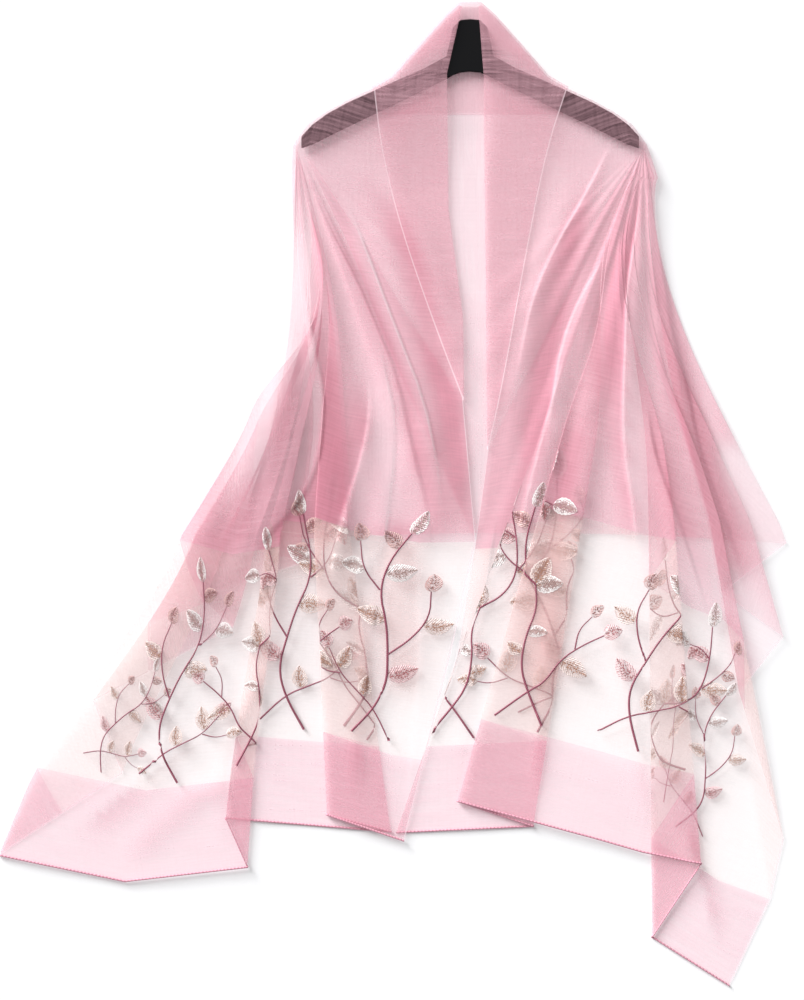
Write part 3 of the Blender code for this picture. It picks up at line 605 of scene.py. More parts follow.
def grid_faces(rows, columns, start=0):
    """The corners of the squares of a grid whose points are numbered row by row."""
    corner = start + np.arange(rows * columns).reshape(rows, columns)
    return np.stack((corner[:-1, :-1], corner[:-1, 1:], corner[1:, 1:], corner[1:, :-1]), -1).reshape(-1, 4)


def new_piece(name, places, faces, cut, values, material):
    """A piece from its points, its faces, each point's place on the cut in millimetres and its attributes."""
    mesh = bpy.data.meshes.new(name)
    mesh.from_pydata(places, [], faces)
    ends = np.empty(len(mesh.loops), np.int32)
    mesh.loops.foreach_get("vertex_index", ends)
    mesh.uv_layers.new(name="cut").data.foreach_set("uv", (cut.reshape(-1, 2) * MM)[ends].ravel())
    for attribute, value in values.items():
        mesh.attributes.new(attribute, "FLOAT", "POINT").data.foreach_set("value", value.ravel())
    mesh.shade_smooth()
    mesh.materials.append(material)
    return add_to_scene(name, mesh)


def sheet_mesh(name, points, cloth, sign, material, pleated_side=None):
    """A sheet on a grid of points. Its UV map is the cut's place in metres. How closely the cloth is
    gathered, its pleats' number and how strong they are go with it as attributes."""
    x, down = sign * points[..., 0], points[..., 1]
    _, deeper, beside, shine = creases_at(x, down)
    off_arm = smooth((distance_to_chain(np.abs(x), down, ARM_AXIS) - ARM_HALF_HEIGHT) / OFF_ARM_RUN)
    # Besides the real gathering, this carries the creases' painted shade and painted highlight.
    close = gathered(points, cloth) + deeper + gathers_at(x, down)[1]
    close = ON_ARM_GATHERED + off_arm * (close - ON_ARM_GATHERED)
    # How far each point is from a shining crease, and how strong the highlight painted along it is.
    values = {"gathers": np.maximum(close, LEAST_GATHERED), "open": 1 - off_arm, "beside": beside,
              "shine": shine}
    if pleated_side:
        values["pleat"], values["pleated"] = pleats_at(x, down, pleated_side)
    places = in_row_frame(points, sign).reshape(-1, 3)
    return new_piece(name, places, grid_faces(*points.shape[:2]), cloth, values, material)


# The thread of the body is dyed silk. Slubs, where the weft is thicker, run across the cloth every few
# millimetres, and the open weave lets most of what is under it show. Its long edges are woven closer. The
# weft, the warp and slow clouds of both make up the pattern of the threads in these shares.
SILK_DEEP = "#e8a0b1"
SILK_PALE = "#f4c8d3"
# Painted shade: the deeper rose that is mixed in where the cloth is gathered and along the creases' deep
# bands.
SILK_GATHERED_SHADE = "#da889d"
# The selvedges' paler pink, woven closer. It also paints the highlight along shining creases.
SELVEDGE_AND_SHINE_PINK = "#fbe3ea"
SLUB_LENGTH, SLUB_SPACING = 0.055, 0.0028
WARP_SPACING, WARP_LENGTH = 0.0032, 1 / 14
CLOUD_LENGTH, CLOUD_WIDTH = 0.12, 1 / 40
WEFT_SHARE, WARP_SHARE, CLOUD_SHARE = 0.62, 0.2, 0.34
THREADS_RANGE = (0.44, 0.74)
GATHERED_SHADE_RANGE = (1.15, 2.4)
PLEAT_CLOSES, PLEAT_DROPS = (0.1, 0.93), (0.86, 1.0)
PLEAT_LAYERS = 1.1
SELVEDGE_WIDTH = 0.0017
SHINE_WIDTH = 2.0
GLOW = 0.05
OPEN_SLUBS = 0.09
GATHERED_SHADE_MOST = 0.75


def maths(tree, operation, *values):
    """The result of a calculation with values or other nodes' outputs."""
    return add_node(tree, "ShaderNodeMath", dict(enumerate(values)), operation=operation).outputs[0]


def mixed(tree, share, first, second):
    """Two colours mixed."""
    inputs = {"Factor": share, "A": first, "B": second}
    return add_node(tree, "ShaderNodeMix", inputs, data_type="RGBA").outputs["Result"]


def attribute(tree, name):
    """A value that goes with the points of the mesh."""
    return add_node(tree, "ShaderNodeAttribute", attribute_name=name).outputs["Fac"]


def place_on_cut(tree):
    """The place on the flat cut, in metres."""
    return add_node(tree, "ShaderNodeUVMap", uv_map="cut").outputs["UV"]


def streaks(tree, cut, length, width, detail):
    """A noise pattern drawn out on the cut."""
    inputs = {"Vector": cut, "Scale": (1 / length, 1 / width, 1)}
    place = add_node(tree, "ShaderNodeMapping", inputs).outputs[0]
    return noise(tree, place, 1, detail)


def thread_pattern(tree, cut):
    """The weft, the warp and the clouds added up, each with its share."""
    threads = maths(tree, "MULTIPLY_ADD", streaks(tree, cut, SLUB_LENGTH, SLUB_SPACING, 2), WEFT_SHARE, 0.0)
    warp = streaks(tree, cut, WARP_SPACING, WARP_LENGTH, 1)
    threads = maths(tree, "MULTIPLY_ADD", warp, WARP_SHARE, threads)
    return maths(tree, "MULTIPLY_ADD", streaks(tree, cut, CLOUD_LENGTH, CLOUD_WIDTH, 3), CLOUD_SHARE, threads)


def pleat_shade(tree):
    """How much is doubled in a fine pleat: closing slowly across it, and dropping at once at its edge."""
    across = maths(tree, "FRACT", attribute(tree, "pleat"))
    closes = mapped(tree, across, PLEAT_CLOSES, (0, 1), interpolation_type="SMOOTHSTEP")
    drops = mapped(tree, across, PLEAT_DROPS, (1, 0), interpolation_type="SMOOTHSTEP")
    return maths(tree, "MULTIPLY", maths(tree, "MULTIPLY", closes, drops), attribute(tree, "pleated"))


def selvedges_and_painted_shine(tree, cut):
    """1 on the selvedges, which are woven closer, and less on the creases that shine, where a highlight is
    painted.
    """
    crest = mapped(tree, attribute(tree, "beside"), (0.3, SHINE_WIDTH), (1, 0))
    crest = maths(tree, "MULTIPLY", crest, attribute(tree, "shine"))
    across = add_node(tree, "ShaderNodeSeparateXYZ", {"Vector": cut}).outputs["X"]
    half = WIDTH * MM / 2
    from_middle = maths(tree, "ABSOLUTE", maths(tree, "SUBTRACT", across, half))
    edge = mapped(tree, from_middle, (half - SELVEDGE_WIDTH, half - SELVEDGE_WIDTH * 0.6), (0, 1))
    return maths(tree, "MAXIMUM", crest, edge)


def sheer_weave(name, deep, pale, gathered_shade_colour, cover, slub_cover):
    """A woven sheet that covers a share of what is under it, more where it is gathered: with cover c and g
    layers drawn together, it covers 1 - (1 - c) ^ g. Where it is gathered it is mixed towards a deeper
    colour, a painted shade for the rosy shade in folds. A faint painted glow stands for the light that comes
    through."""
    material, tree, shader = new_material(name)
    cut = place_on_cut(tree)
    threads = thread_pattern(tree, cut)
    gathers = attribute(tree, "gathers")
    swing = mapped(tree, threads, THREADS_RANGE, (-1, 1))
    swing_depth = maths(tree, "MULTIPLY_ADD", attribute(tree, "open"), OPEN_SLUBS, slub_cover)
    covered = maths(tree, "MULTIPLY_ADD", swing, swing_depth, cover)
    layers = maths(tree, "MULTIPLY_ADD", pleat_shade(tree), PLEAT_LAYERS, gathers)
    clear = maths(tree, "POWER", maths(tree, "SUBTRACT", 1.0, covered), layers)
    bright = selvedges_and_painted_shine(tree, cut)
    dyed = mixed(tree, threads, linear(deep), linear(pale))
    # Painted shade: where the cloth is gathered, its colour is mixed towards the deeper rose.
    drawn = mapped(tree, gathers, GATHERED_SHADE_RANGE, (0, GATHERED_SHADE_MOST))
    # Selvedges, and the creases' painted highlight lines, are mixed to a paler pink and cover more.
    colour = mixed(tree, bright, mixed(tree, drawn, dyed, linear(gathered_shade_colour)), linear(SELVEDGE_AND_SHINE_PINK))
    closed = maths(tree, "MULTIPLY", bright, 0.5)
    fill(tree, shader, {
        "Base Color": colour,
        "Alpha": maths(tree, "MAXIMUM", maths(tree, "SUBTRACT", 1.0, clear), closed),
        "Roughness": 0.55,
        "Specular IOR Level": 0.2,
        "Emission Color": linear(deep),
        "Emission Strength": GLOW,
    })
    return material


silk = sheer_weave("sheer slub silk, dyed pink", SILK_DEEP, SILK_PALE, SILK_GATHERED_SHADE, 0.28, 0.05)


def front_piece(fan, name, span, rows, step, material):
    """One stretch of a front between two distances along the cloth."""
    first = fan.fold_at(span[0], True) if span[0] else 0.0
    last = fan.fold_at(span[0], False) if span[0] else float(fan.last)
    k, bend = fan.columns(first, last, step)
    shares = np.linspace(0, 1, rows + 1) ** (1 if span[0] else 1.3)
    k, bend = k[:, None], bend[:, None]
    points = fan.bent(k, bend, span, shares[None])
    cloth = fan.on_cloth(k * np.ones((1, rows + 1)), fan.rows(k, span, shares[None]))
    return sheet_mesh(f"{name}_{fan.side.name}", points, cloth, fan.side.sign, material, fan.side)


def cut_area(piece):
    """The area in square metres of the cut that a sheet covers: its faces' area in the UV map."""
    mesh = piece.data
    cut = np.empty(len(mesh.loops) * 2)
    mesh.uv_layers["cut"].data.foreach_get("uv", cut)
    corners = cut.reshape(-1, 4, 2)
    across, along = corners[:, 2] - corners[:, 0], corners[:, 3] - corners[:, 1]
    return float(np.abs(across[:, 0] * along[:, 1] - across[:, 1] * along[:, 0]).sum() / 2)


fronts = {}
for fan in FANS:
    name = fan.side.name
    front = front_piece(fan, "front_silk", (0, BAND_START), FRONT_ROWS, FRONT_COLUMN_STEP, silk)
    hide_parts(f"front_{name}")
    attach(front, "root")
    fronts[name] = front


# ---- Back ------------------------------------------------------------------------------------------------
# The middle of the same length of silk lies under the hanger, and turns over its shoulders and down both
# sides into the fronts. It lies flat on the floor, but for the collar that is turned under it.

COLLAR_BOTTOM = 124
COLLAR_STEP = 25
BACK_BOW = 12
COLLAR_DEPTH = 100
EDGE_ROWS = 60
PANEL_COLUMNS = 44
EDGE_ANGLES = np.linspace(-90, 90, 9)


def back_height(down):
    """The middle of the back's wall: on the floor, or on the collar behind the neck."""
    return FLOOR_LAYER + LAYER * smooth(1 - (down - COLLAR_BOTTOM - 4) / COLLAR_STEP)


def turned_arc(foot, outwards, low, high, angles):
    """Half ellipses from a low layer to a high one, each over its foot and square to the edge."""
    half = (high - low) / 2
    width = np.maximum(np.abs(half), FOLD_BEND)
    turn = np.radians(angles)[None, :]
    across = (width[:, None] * np.cos(turn))[..., None] * outwards[:, None, :]
    up = ((high + low) / 2)[:, None] + half[:, None] * np.sin(turn)
    return np.concatenate((foot[:, None, :2] + across, up[..., None]), -1)


def outward_normals(path, turn):
    """Unit normals of a path in the plan, on the side given by the sign of turn."""
    run = np.gradient(path[:, :2], axis=0)
    normal = np.stack((run[:, 1], -run[:, 0]), 1) * turn
    return normal / np.linalg.norm(normal, axis=1, keepdims=True)


def turned_edge(fan):
    """The way round one shoulder: from the peak to the arm's tip and down the side, with its normals."""
    shares = np.linspace(0, 1, EDGE_ROWS + 1) ** 1.5
    shoulder = fan.at(np.full(len(shares), float(fan.last)), shares[::-1])
    side = fan.at(np.zeros(len(shares)), shares)
    shoulder_normal, side_normal = outward_normals(shoulder, 1), outward_normals(side, 1)
    ends = np.arctan2(*np.stack((shoulder_normal[-1], side_normal[0])).T[::-1])
    angles = np.linspace(ends[0], ends[1], 9)[1:-1]
    tip_normal = np.stack((np.cos(angles), np.sin(angles)), 1)
    path = np.concatenate((shoulder, np.repeat(side[:1], len(angles), 0), side))
    return path, np.concatenate((shoulder_normal, tip_normal, side_normal))


def back_grid():
    """Rows from the left turned edge over the floor to the right one."""
    edges = []
    for fan in FANS:
        path, normal = turned_edge(fan)
        edge = turned_arc(path, normal, back_height(path[:, 1]), path[:, 2], EDGE_ANGLES)
        edges.append(edge * (fan.side.sign, 1, 1))
    right, left = edges
    share = np.linspace(0, 1, PANEL_COLUMNS + 1)[1:-1][None, :, None]
    panel = left[:, :1] * (1 - share) + right[:, :1] * share
    lowest = smooth((panel[..., 1] - 400) / (BACK_BOTTOM - 400))
    panel[..., 1] -= BACK_BOW * lowest * (4 * share * (1 - share))[..., 0]
    panel[..., 2] = back_height(panel[..., 1])
    return np.concatenate((left[:, ::-1], panel, right), 1)


back_points = back_grid()
back_cut = np.stack((COLLAR_DEPTH + back_points[..., 1], np.abs(back_points[..., 0])), -1)
back = sheet_mesh("back_silk", back_points, back_cut, 1, silk)
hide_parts("back")
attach(back, "root")


# ---- Collar and lapels -----------------------------------------------------------------------------------
# The upper long edge is turned out as a shawl collar: folded under behind the neck, rolled over both sides
# of the neck opening, and laid outwards on the fronts. It is neither cut nor sewn.

COLLAR_REACH = 0.53
LAPEL_LAYERS = 2.4
LAPEL_COLUMNS = 30


def lapel_height(out, down):
    """The middle of a lapel's wall over the floor."""
    return FLOOR_LAYER + LAYER * LAPEL_LAYERS + front_rise(out, down)


def collar_line(fan):
    """The part of the shoulder line that the collar turns over, from the peak outwards."""
    shares = np.linspace(1, (1 - COLLAR_REACH), LAPEL_COLUMNS + 1)
    return fan.at(np.full(len(shares), float(fan.last)), shares)


def along_points(points, shares):
    """Points at shares of the length of a chain."""
    points = np.asarray(points, float)
    lengths = np.concatenate(((0,), np.cumsum(np.linalg.norm(np.diff(points, axis=0), axis=1))))
    return np.stack([np.interp(shares * lengths[-1], lengths, c) for c in points.T], -1)


def collar_grid():
    """From the edge behind the neck up to the shoulder line, and over it to the lapels' height."""
    right, left = (collar_line(fan) * (fan.side.sign, 1, 1) for fan in FANS)
    path = np.concatenate((left[::-1], np.linspace(left[0], right[0], 12)[1:-1], right))
    normal = outward_normals(path, 1)
    edge = turned_arc(path, normal, np.full(len(path), FLOOR_LAYER), lapel_height(path[:, 0], path[:, 1]),
                      EDGE_ANGLES)
    ends = np.linspace(0, 1, len(path))[:, None]
    bottom = path[0, :2] * (1 - ends) + path[-1, :2] * ends
    bottom[:, 1] = COLLAR_BOTTOM
    bottom[[0, -1]] = path[[0, -1], :2]
    share = np.linspace(0, 1, 14)[:-1][None, :, None]
    panel = bottom[:, None] * (1 - share) + path[:, None, :2] * share
    panel = np.concatenate((panel, np.full(panel.shape[:2] + (1,), FLOOR_LAYER)), -1)
    depth = np.concatenate((share[0, :, 0], np.ones(len(EDGE_ANGLES)))) * COLLAR_DEPTH
    points = np.concatenate((panel, edge), 1)
    cut = np.stack((np.broadcast_to(depth, points.shape[:2]), np.abs(points[..., 0])), -1)
    return points, cut


def lapel_grid(fan):
    """From the roll line outwards to the free edge, a row for each step down the roll line."""
    names = [f.name for f in fan.side.folds]
    k = np.linspace(fan.last, names.index("roll foot"), 90)
    roll = fan.at(k, np.ones(len(k)))
    lengths = np.concatenate(((0,), np.cumsum(np.linalg.norm(np.diff(roll[:, :2], axis=0), axis=1))))
    rows = lengths / lengths[-1]
    top = collar_line(fan)[:, :2]
    free = along_points(rounded(np.concatenate((top[-1:], fan.side.lapel[::-1], roll[-1:, :2]))), rows)
    share = np.linspace(0, 1, len(top))[None, :, None]
    sheet = roll[:, None, :2] * (1 - share) + free[:, None] * share
    straight = top[:1] * (1 - share[0]) + top[-1:] * share[0]
    sheet = sheet + (1 - rows)[:, None, None] * (top - straight)[None]
    height = lapel_height(sheet[..., 0], sheet[..., 1])
    sheet = np.concatenate((sheet, height[..., None]), -1)
    low = FLOOR_LAYER + LAYER + front_rise(roll[:, 0], roll[:, 1])
    roll_arc = turned_arc(sheet[:, 0], outward_normals(roll, -1), low, sheet[:, 0, 2], EDGE_ANGLES)[:, :-1]
    across = fan.mix(fan.cloth[:, 0], k)[:, None] * (1 - share[..., 0])
    along = np.interp(sheet[..., 1], roll[:, 1], fan.mix(fan.cloth[:, 1], k))
    arc_cut = np.broadcast_to(fan.mix(fan.cloth, k)[:, None], roll_arc.shape[:2] + (2,))
    return np.concatenate((roll_arc, sheet), 1), np.concatenate((arc_cut, np.stack((across, along), -1)), 1)


collar_points, collar_cut = collar_grid()
collar = sheet_mesh("collar_silk", collar_points, collar_cut, 1, silk)
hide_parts("collar")
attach(collar, "root")

for fan in FANS:
    name = fan.side.name
    lapel = sheet_mesh(f"lapel_silk_{name}", *lapel_grid(fan), fan.side.sign, silk)
    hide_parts(f"lapel_{name}")
    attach(lapel, "root")
    cut_area(lapel)

cut_area(collar)


# ---- Clear bands -----------------------------------------------------------------------------------------
# Between body and border the coloured weft is left out, and a strip of nearly clear organza shows. Only its
# edges and its folds, where it lies double, catch the eye.

ORGANZA_DEEP = "#f6d3d2"
ORGANZA_PALE = "#fdece8"
# Painted shade: the deeper tone that is mixed in where the organza is gathered.
ORGANZA_GATHERED_SHADE = "#efc3c1"
BAND_ROWS = 34
BAND_COLUMN_STEP = 9

organza = sheer_weave("nearly clear silk organza", ORGANZA_DEEP, ORGANZA_PALE, ORGANZA_GATHERED_SHADE, 0.16, 0.04)
bands = {}
for fan in FANS:
    name = fan.side.name
    band = front_piece(fan, "band_organza", (BAND_START, BORDER_START), BAND_ROWS, BAND_COLUMN_STEP, organza)
    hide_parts(f"band_{name}")
    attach(band, "root")
    bands[name] = band


# ---- Borders ---------------------------------------------------------------------------------------------
# The pink weft comes back for the last nine centimetres. The border is a little thinner than the body.

BORDER_DEEP = "#e895ab"
BORDER_PALE = "#f7c9d5"
BORDER_ROWS = 14

border_silk = sheer_weave("sheer slub silk, border", BORDER_DEEP, BORDER_PALE, SILK_GATHERED_SHADE, 0.27, 0.06)
for fan in FANS:
    name = fan.side.name
    span = (BORDER_START, HALF_LENGTH - HEM_WIDTH / 2)
    border = front_piece(fan, "border_silk", span, BORDER_ROWS, BAND_COLUMN_STEP, border_silk)
    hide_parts(f"border_{name}")
    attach(border, "root")


# ---- Rolled hems -----------------------------------------------------------------------------------------
# Each end is rolled between finger and thumb and slip-stitched, which leaves a thin round cord of cloth,
# darker than the border because it holds four layers.

HEM_DEEP = "#c98497"
HEM_PALE = "#e4a9ba"
HEM_RADIUS = 1.2
HEM_SIDES = 10
STITCH_SPACING = 0.004
THREADS_PER_M = 700


def rolled_silk():
    """Silk rolled tight, with a small pinch at every slip stitch."""
    material, tree, shader = new_material("hand-rolled silk hem")
    cut = place_on_cut(tree)
    across = add_node(tree, "ShaderNodeSeparateXYZ", {"Vector": cut}).outputs["X"]
    pinch = maths(tree, "SINE", maths(tree, "MULTIPLY", across, 2 * np.pi / STITCH_SPACING))
    thread = noise(tree, cut, THREADS_PER_M, 2)
    fill(tree, shader, {
        "Base Color": mixed(tree, thread, linear(HEM_DEEP), linear(HEM_PALE)),
        "Normal": bumped(tree, maths(tree, "ADD", pinch, thread), 0.6, 0.0003),
        "Roughness": 0.55,
    })
    return material


def hem_grid(fan):
    """A circle carried along the end of the cloth. Its axes are the ray's direction and the cloth's
    normal."""
    first, last = fan.fold_at(HALF_LENGTH, True), fan.fold_at(HALF_LENGTH, False)
    k, bend = fan.columns(first, last, 5)
    ends = fan.bent(k[:, None], bend[:, None], (BORDER_START, HALF_LENGTH), np.array([[0.98, 0.995, 1.0]]))
    ray = ends[:, 2] - ends[:, 0]
    ray /= np.maximum(np.linalg.norm(ray, axis=1, keepdims=True), 1e-6)
    normal = np.cross(np.gradient(ends[:, 1], axis=0), ray)
    normal /= np.maximum(np.linalg.norm(normal, axis=1, keepdims=True), 1e-6)
    turn = np.linspace(0, 2 * np.pi, HEM_SIDES + 1)[None, :, None]
    points = ends[:, None, 1] + HEM_RADIUS * (np.cos(turn) * ray[:, None] + np.sin(turn) * normal[:, None])
    points[..., 2] = np.maximum(points[..., 2], 0.05)
    across = fan.mix(fan.cloth[:, 0], k)[:, None] * np.ones((1, HEM_SIDES + 1))
    around = np.broadcast_to(turn[..., 0] * HEM_RADIUS, across.shape)
    return points, np.stack((across, around), -1)


hem_cloth = rolled_silk()
for fan in FANS:
    name = fan.side.name
    hem = sheet_mesh(f"hem_rolled_{name}", *hem_grid(fan), fan.side.sign, hem_cloth)
    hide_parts(f"hem_{name}")
    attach(hem, "root")


# ---- Embroidery ------------------------------------------------------------------------------------------
# Sprays of leaves and buds are machine-embroidered over the bands. Stems are satin-stitched cords of maroon
# thread. Leaves are outlined in white, ivory or rose thread and filled with open seed stitches, so they stand
# a little off the cloth. They are on its right side, so a layer that lies face down veils its own.

# A stem runs through points (aside, rise) of its spray, and its thickness is in millimetres. A leaf sits at a
# share of a stem's length and is turned from it. Its tone goes from 0, white, by 1, gold, to 2, rose and 3,
# brown.
Stem = namedtuple("Stem", "thick points")
Leaf = namedtuple("Leaf", "stem share turn length width tone")
Motif = namedtuple("Motif", "stems leaves")

FORKED = Motif(
    (Stem(1.4, ((-25, -32), (0, 0), (15, 24), (19, 58), (15, 90), (24, 116))),
     Stem(1.2, ((24, 116), (50, 130), (64, 156), (61, 196), (50, 236))),
     Stem(0.86, ((64, 158), (84, 186), (93, 218))),
     Stem(1.2, ((27, -36), (0, 0), (-15, 16), (-24, 44), (-42, 66), (-62, 84))),
     Stem(0.86, ((-36, 60), (-34, 82), (-44, 100))),
     Stem(0.77, ((61, 196), (44, 208), (30, 206)))),
    (Leaf(0, 0.98, -28, 36, 22, 1), Leaf(0, 0.98, -84, 30, 20, 0), Leaf(0, 0.66, -70, 22, 13, 0),
     Leaf(0, 0.52, 66, 20, 15, 1), Leaf(1, 0.42, 70, 34, 21, 1), Leaf(1, 0.7, -66, 30, 19, 2),
     Leaf(1, 1.0, 4, 32, 17, 0), Leaf(2, 1.0, 0, 21, 17, 3), Leaf(2, 0.45, 62, 19, 14, 3),
     Leaf(3, 1.0, -6, 21, 17, 2), Leaf(3, 0.62, -74, 33, 20, 1), Leaf(4, 1.0, 0, 18, 12, 3),
     Leaf(5, 1.0, 10, 27, 19, 0), Leaf(5, 0.6, -80, 22, 15, 2)),
)
CROSSED = Motif(
    (Stem(1.4, ((-20, -36), (3, 0), (12, 30), (4, 66), (-6, 100), (-22, 134), (-22, 170), (-9, 206))),
     Stem(1.1, ((4, 66), (22, 90), (32, 118), (26, 146))),
     Stem(1, ((30, -30), (3, 0), (-24, 14), (-48, 26), (-68, 50))),
     Stem(0.86, ((-22, 136), (-44, 156), (-54, 186))),
     Stem(0.77, ((-48, 26), (-66, 22), (-80, 26)))),
    (Leaf(0, 0.33, 64, 32, 20, 2), Leaf(0, 0.58, -62, 34, 22, 1), Leaf(0, 0.8, 66, 32, 20, 0),
     Leaf(0, 1.0, 2, 28, 15, 0), Leaf(0, 0.92, -70, 24, 16, 3), Leaf(1, 0.55, 58, 30, 19, 1),
     Leaf(1, 1.0, 6, 20, 17, 3), Leaf(2, 0.48, 72, 26, 18, 1), Leaf(2, 1.0, 0, 22, 17, 2),
     Leaf(2, 0.8, 64, 31, 19, 1), Leaf(3, 1.0, 0, 21, 16, 3), Leaf(3, 0.5, -64, 30, 20, 0),
     Leaf(4, 1.0, -4, 22, 14, 1)),
)

# Where each spray's crossing is on the cut, its size, whether it is turned over, and how it leans.
Spray = namedtuple("Spray", "motif across along size flip lean")
SPRAYS = {
    "right": (Spray(FORKED, 60, 812, 0.96, 1, 3), Spray(CROSSED, 172, 806, 1.04, 1, -4),
              Spray(FORKED, 284, 812, 1.0, -1, 2), Spray(CROSSED, 398, 808, 0.95, -1, 4),
              Spray(FORKED, 506, 812, 0.8, 1, -5), Spray(CROSSED, 590, 806, 0.62, 1, -6)),
    "left": (Spray(CROSSED, 66, 808, 1.0, -1, -3), Spray(FORKED, 178, 812, 0.98, 1, 3),
             Spray(CROSSED, 292, 806, 1.0, 1, -2), Spray(FORKED, 400, 812, 0.84, -1, 3),
             Spray(CROSSED, 500, 818, 0.86, 1, -8), Spray(CROSSED, 572, 826, 0.5, 1, -30)),
}
STEM_STEP = 2.5
STEM_SIDES = 8
LEAF_ROWS = 20
LEAF_COLUMNS = 12
THREAD_LIFT = 0.35
LEAF_RISE = 0.45
MIDRIB_DEPTH, MIDRIB_WIDTH = 0.25, 0.14
STEM_DEEP = "#6b2c3e"
# The paler stem colour is a painted highlight on the tops of the cord's ridges.
STEM_RIDGE_HIGHLIGHT = "#b4697c"
# The inner and the outer thread of each tone of leaf.
LEAF_INNER = ("#a98a84", "#b0806a", "#b06a6e", "#9c6a66")
LEAF_OUTER = ("#fdf6f5", "#f8e4df", "#f1cbce", "#e2b9b6")
SEED_STITCH = 0.0017
BARB_SPACING = 0.0026
BARB_SLANT = -0.9
LEAF_EDGE = 0.84
WOUND_PER_M = 160


def lay_on_front(fan, cut):
    """Points of the cut as (out, down, up), and 1 or -1 for right side up or down. The fold number is where
    the line from the tip through the point meets the cut's edge, and the share is how far along it."""
    away = cut - fan.cloth_tip
    corners = fan.cloth - fan.cloth_tip
    angle = np.arctan2(away[..., 1], away[..., 0]) % (2 * np.pi)
    fold_angles = np.arctan2(corners[:, 1], corners[:, 0]) % (2 * np.pi)
    fold = np.clip(np.searchsorted(fold_angles, angle) - 1, 0, fan.last - 1)
    near, far = corners[fold], corners[fold + 1]
    past_near = away[..., 0] * near[..., 1] - away[..., 1] * near[..., 0]
    past_far = away[..., 0] * far[..., 1] - away[..., 1] * far[..., 0]
    share = np.clip(past_near / (past_near - past_far), 0.02, 0.98)
    ray = near + share[..., None] * (far - near)
    r = np.clip(np.linalg.norm(away, axis=-1) / np.linalg.norm(ray, axis=-1), 0, 0.995)
    laid = fan.laid - fan.tip
    turned = np.sign(laid[fold, 0] * laid[fold + 1, 1] - laid[fold, 1] * laid[fold + 1, 0])
    return fan.at(fold + share, r), turned


def spray_point(spray, aside, rise):
    """A spray's own (aside, rise) on the cut: flipped, leant over, scaled and moved to its foot."""
    lean = np.radians(spray.lean)
    x = spray.size * (spray.flip * aside * np.cos(lean) + rise * np.sin(lean))
    y = spray.size * (rise * np.cos(lean) - spray.flip * aside * np.sin(lean))
    return np.stack((spray.across + x, spray.along - y), -1)


def stem_line(stem):
    """Even steps down a smooth curve through the stem's points, and its heading from straight up."""
    curve = rounded(stem.points, 2)
    length = np.linalg.norm(np.diff(curve, axis=0), axis=1).sum()
    line = along_points(curve, np.linspace(0, 1, int(length / STEM_STEP) + 2))
    run = np.gradient(line, axis=0)
    return line[:, 0], line[:, 1], np.arctan2(run[:, 0], run[:, 1]), length


def stem_tube(fan, spray, stem):
    """A flattened circle of thread carried along the stem on the cloth, thinner towards its tip."""
    aside, rise, heading, whole = stem_line(stem)
    share = np.linspace(0, 1, len(aside))[:, None]
    radius = stem.thick * (1 - 0.4 * share)
    turn = np.linspace(0, 2 * np.pi, STEM_SIDES + 1)[None, :]
    side = radius * np.cos(turn)
    cut = spray_point(spray, aside[:, None] + side * np.cos(heading)[:, None],
                      rise[:, None] - side * np.sin(heading)[:, None])
    points, turned = lay_on_front(fan, cut)
    points[..., 2] += turned * (THREAD_LIFT + 0.5 * radius * (1 + np.sin(turn)))
    length = share * whole * np.ones_like(side)
    return points, np.stack((length, turn * np.ones_like(length) * 1.2), -1)


def leaf_blade(fan, spray, leaf):
    """A pointed oval on the cloth with a stitched, uneven edge, raised along both halves and sunk along its
    midrib. Its own (length, aside) is its UV map, and its tone goes with its points."""
    aside, rise, heading, _ = stem_line(spray.motif.stems[leaf.stem])
    at = int(round(leaf.share * (len(aside) - 1)))
    point = heading[at] + np.radians(leaf.turn)
    u = np.linspace(0, 1, LEAF_ROWS + 1)[:, None]
    v = np.linspace(-1, 1, LEAF_COLUMNS + 1)[None, :]
    stitched = 1 + 0.05 * np.sin(40 * u + 3 * np.sign(v))
    half = leaf.width / 2 * np.sin(np.pi * u ** 0.78) ** 0.7 * stitched + 0.05
    length, across = u * leaf.length, half * v + 1.5 * np.sin(np.pi * u)
    x = aside[at] + length * np.sin(point) + across * np.cos(point)
    y = rise[at] + length * np.cos(point) - across * np.sin(point)
    points, turned = lay_on_front(fan, spray_point(spray, x, y))
    raised = LEAF_RISE * (1 - v ** 2) - MIDRIB_DEPTH * np.exp(-(v / MIDRIB_WIDTH) ** 2)
    points[..., 2] += turned * (THREAD_LIFT + raised)
    tone = np.full(points.shape[:2], float(leaf.tone))
    return points, np.stack((length * np.ones_like(v), across), -1), tone


def satin_cord():
    """Maroon rayon thread wound close round the stem, so that slanting ridges catch the light. The ridges'
    tops are painted paler as a highlight, besides their bump. They are drawn two millimetres apart, coarser
    than real thread, so that they show."""
    material, tree, shader = new_material("maroon satin-stitched rayon cord")
    wound = add_node(tree, "ShaderNodeMapping", {"Vector": place_on_cut(tree), "Rotation": (0, 0, 0.6)})
    waves = {"Vector": wound.outputs[0], "Scale": WOUND_PER_M, "Distortion": 0.6}
    ridges = add_node(tree, "ShaderNodeTexWave", waves).outputs["Fac"]
    fill(tree, shader, {
        "Base Color": mixed(tree, ridges, linear(STEM_DEEP), linear(STEM_RIDGE_HIGHLIGHT)),
        "Normal": bumped(tree, ridges, 0.6, 0.0003),
        "Roughness": 0.38,
    })
    return material


def colour_ramp(tree, share, colours):
    """Colours evenly spaced from 0 to 1."""
    ramp = add_node(tree, "ShaderNodeValToRGB", {"Fac": share})
    while len(ramp.color_ramp.elements) < len(colours):
        ramp.color_ramp.elements.new(0.5)
    for i, (stop, colour) in enumerate(zip(ramp.color_ramp.elements, colours)):
        stop.position = i / (len(colours) - 1)
        stop.color = linear(colour)
    return ramp.outputs["Color"]


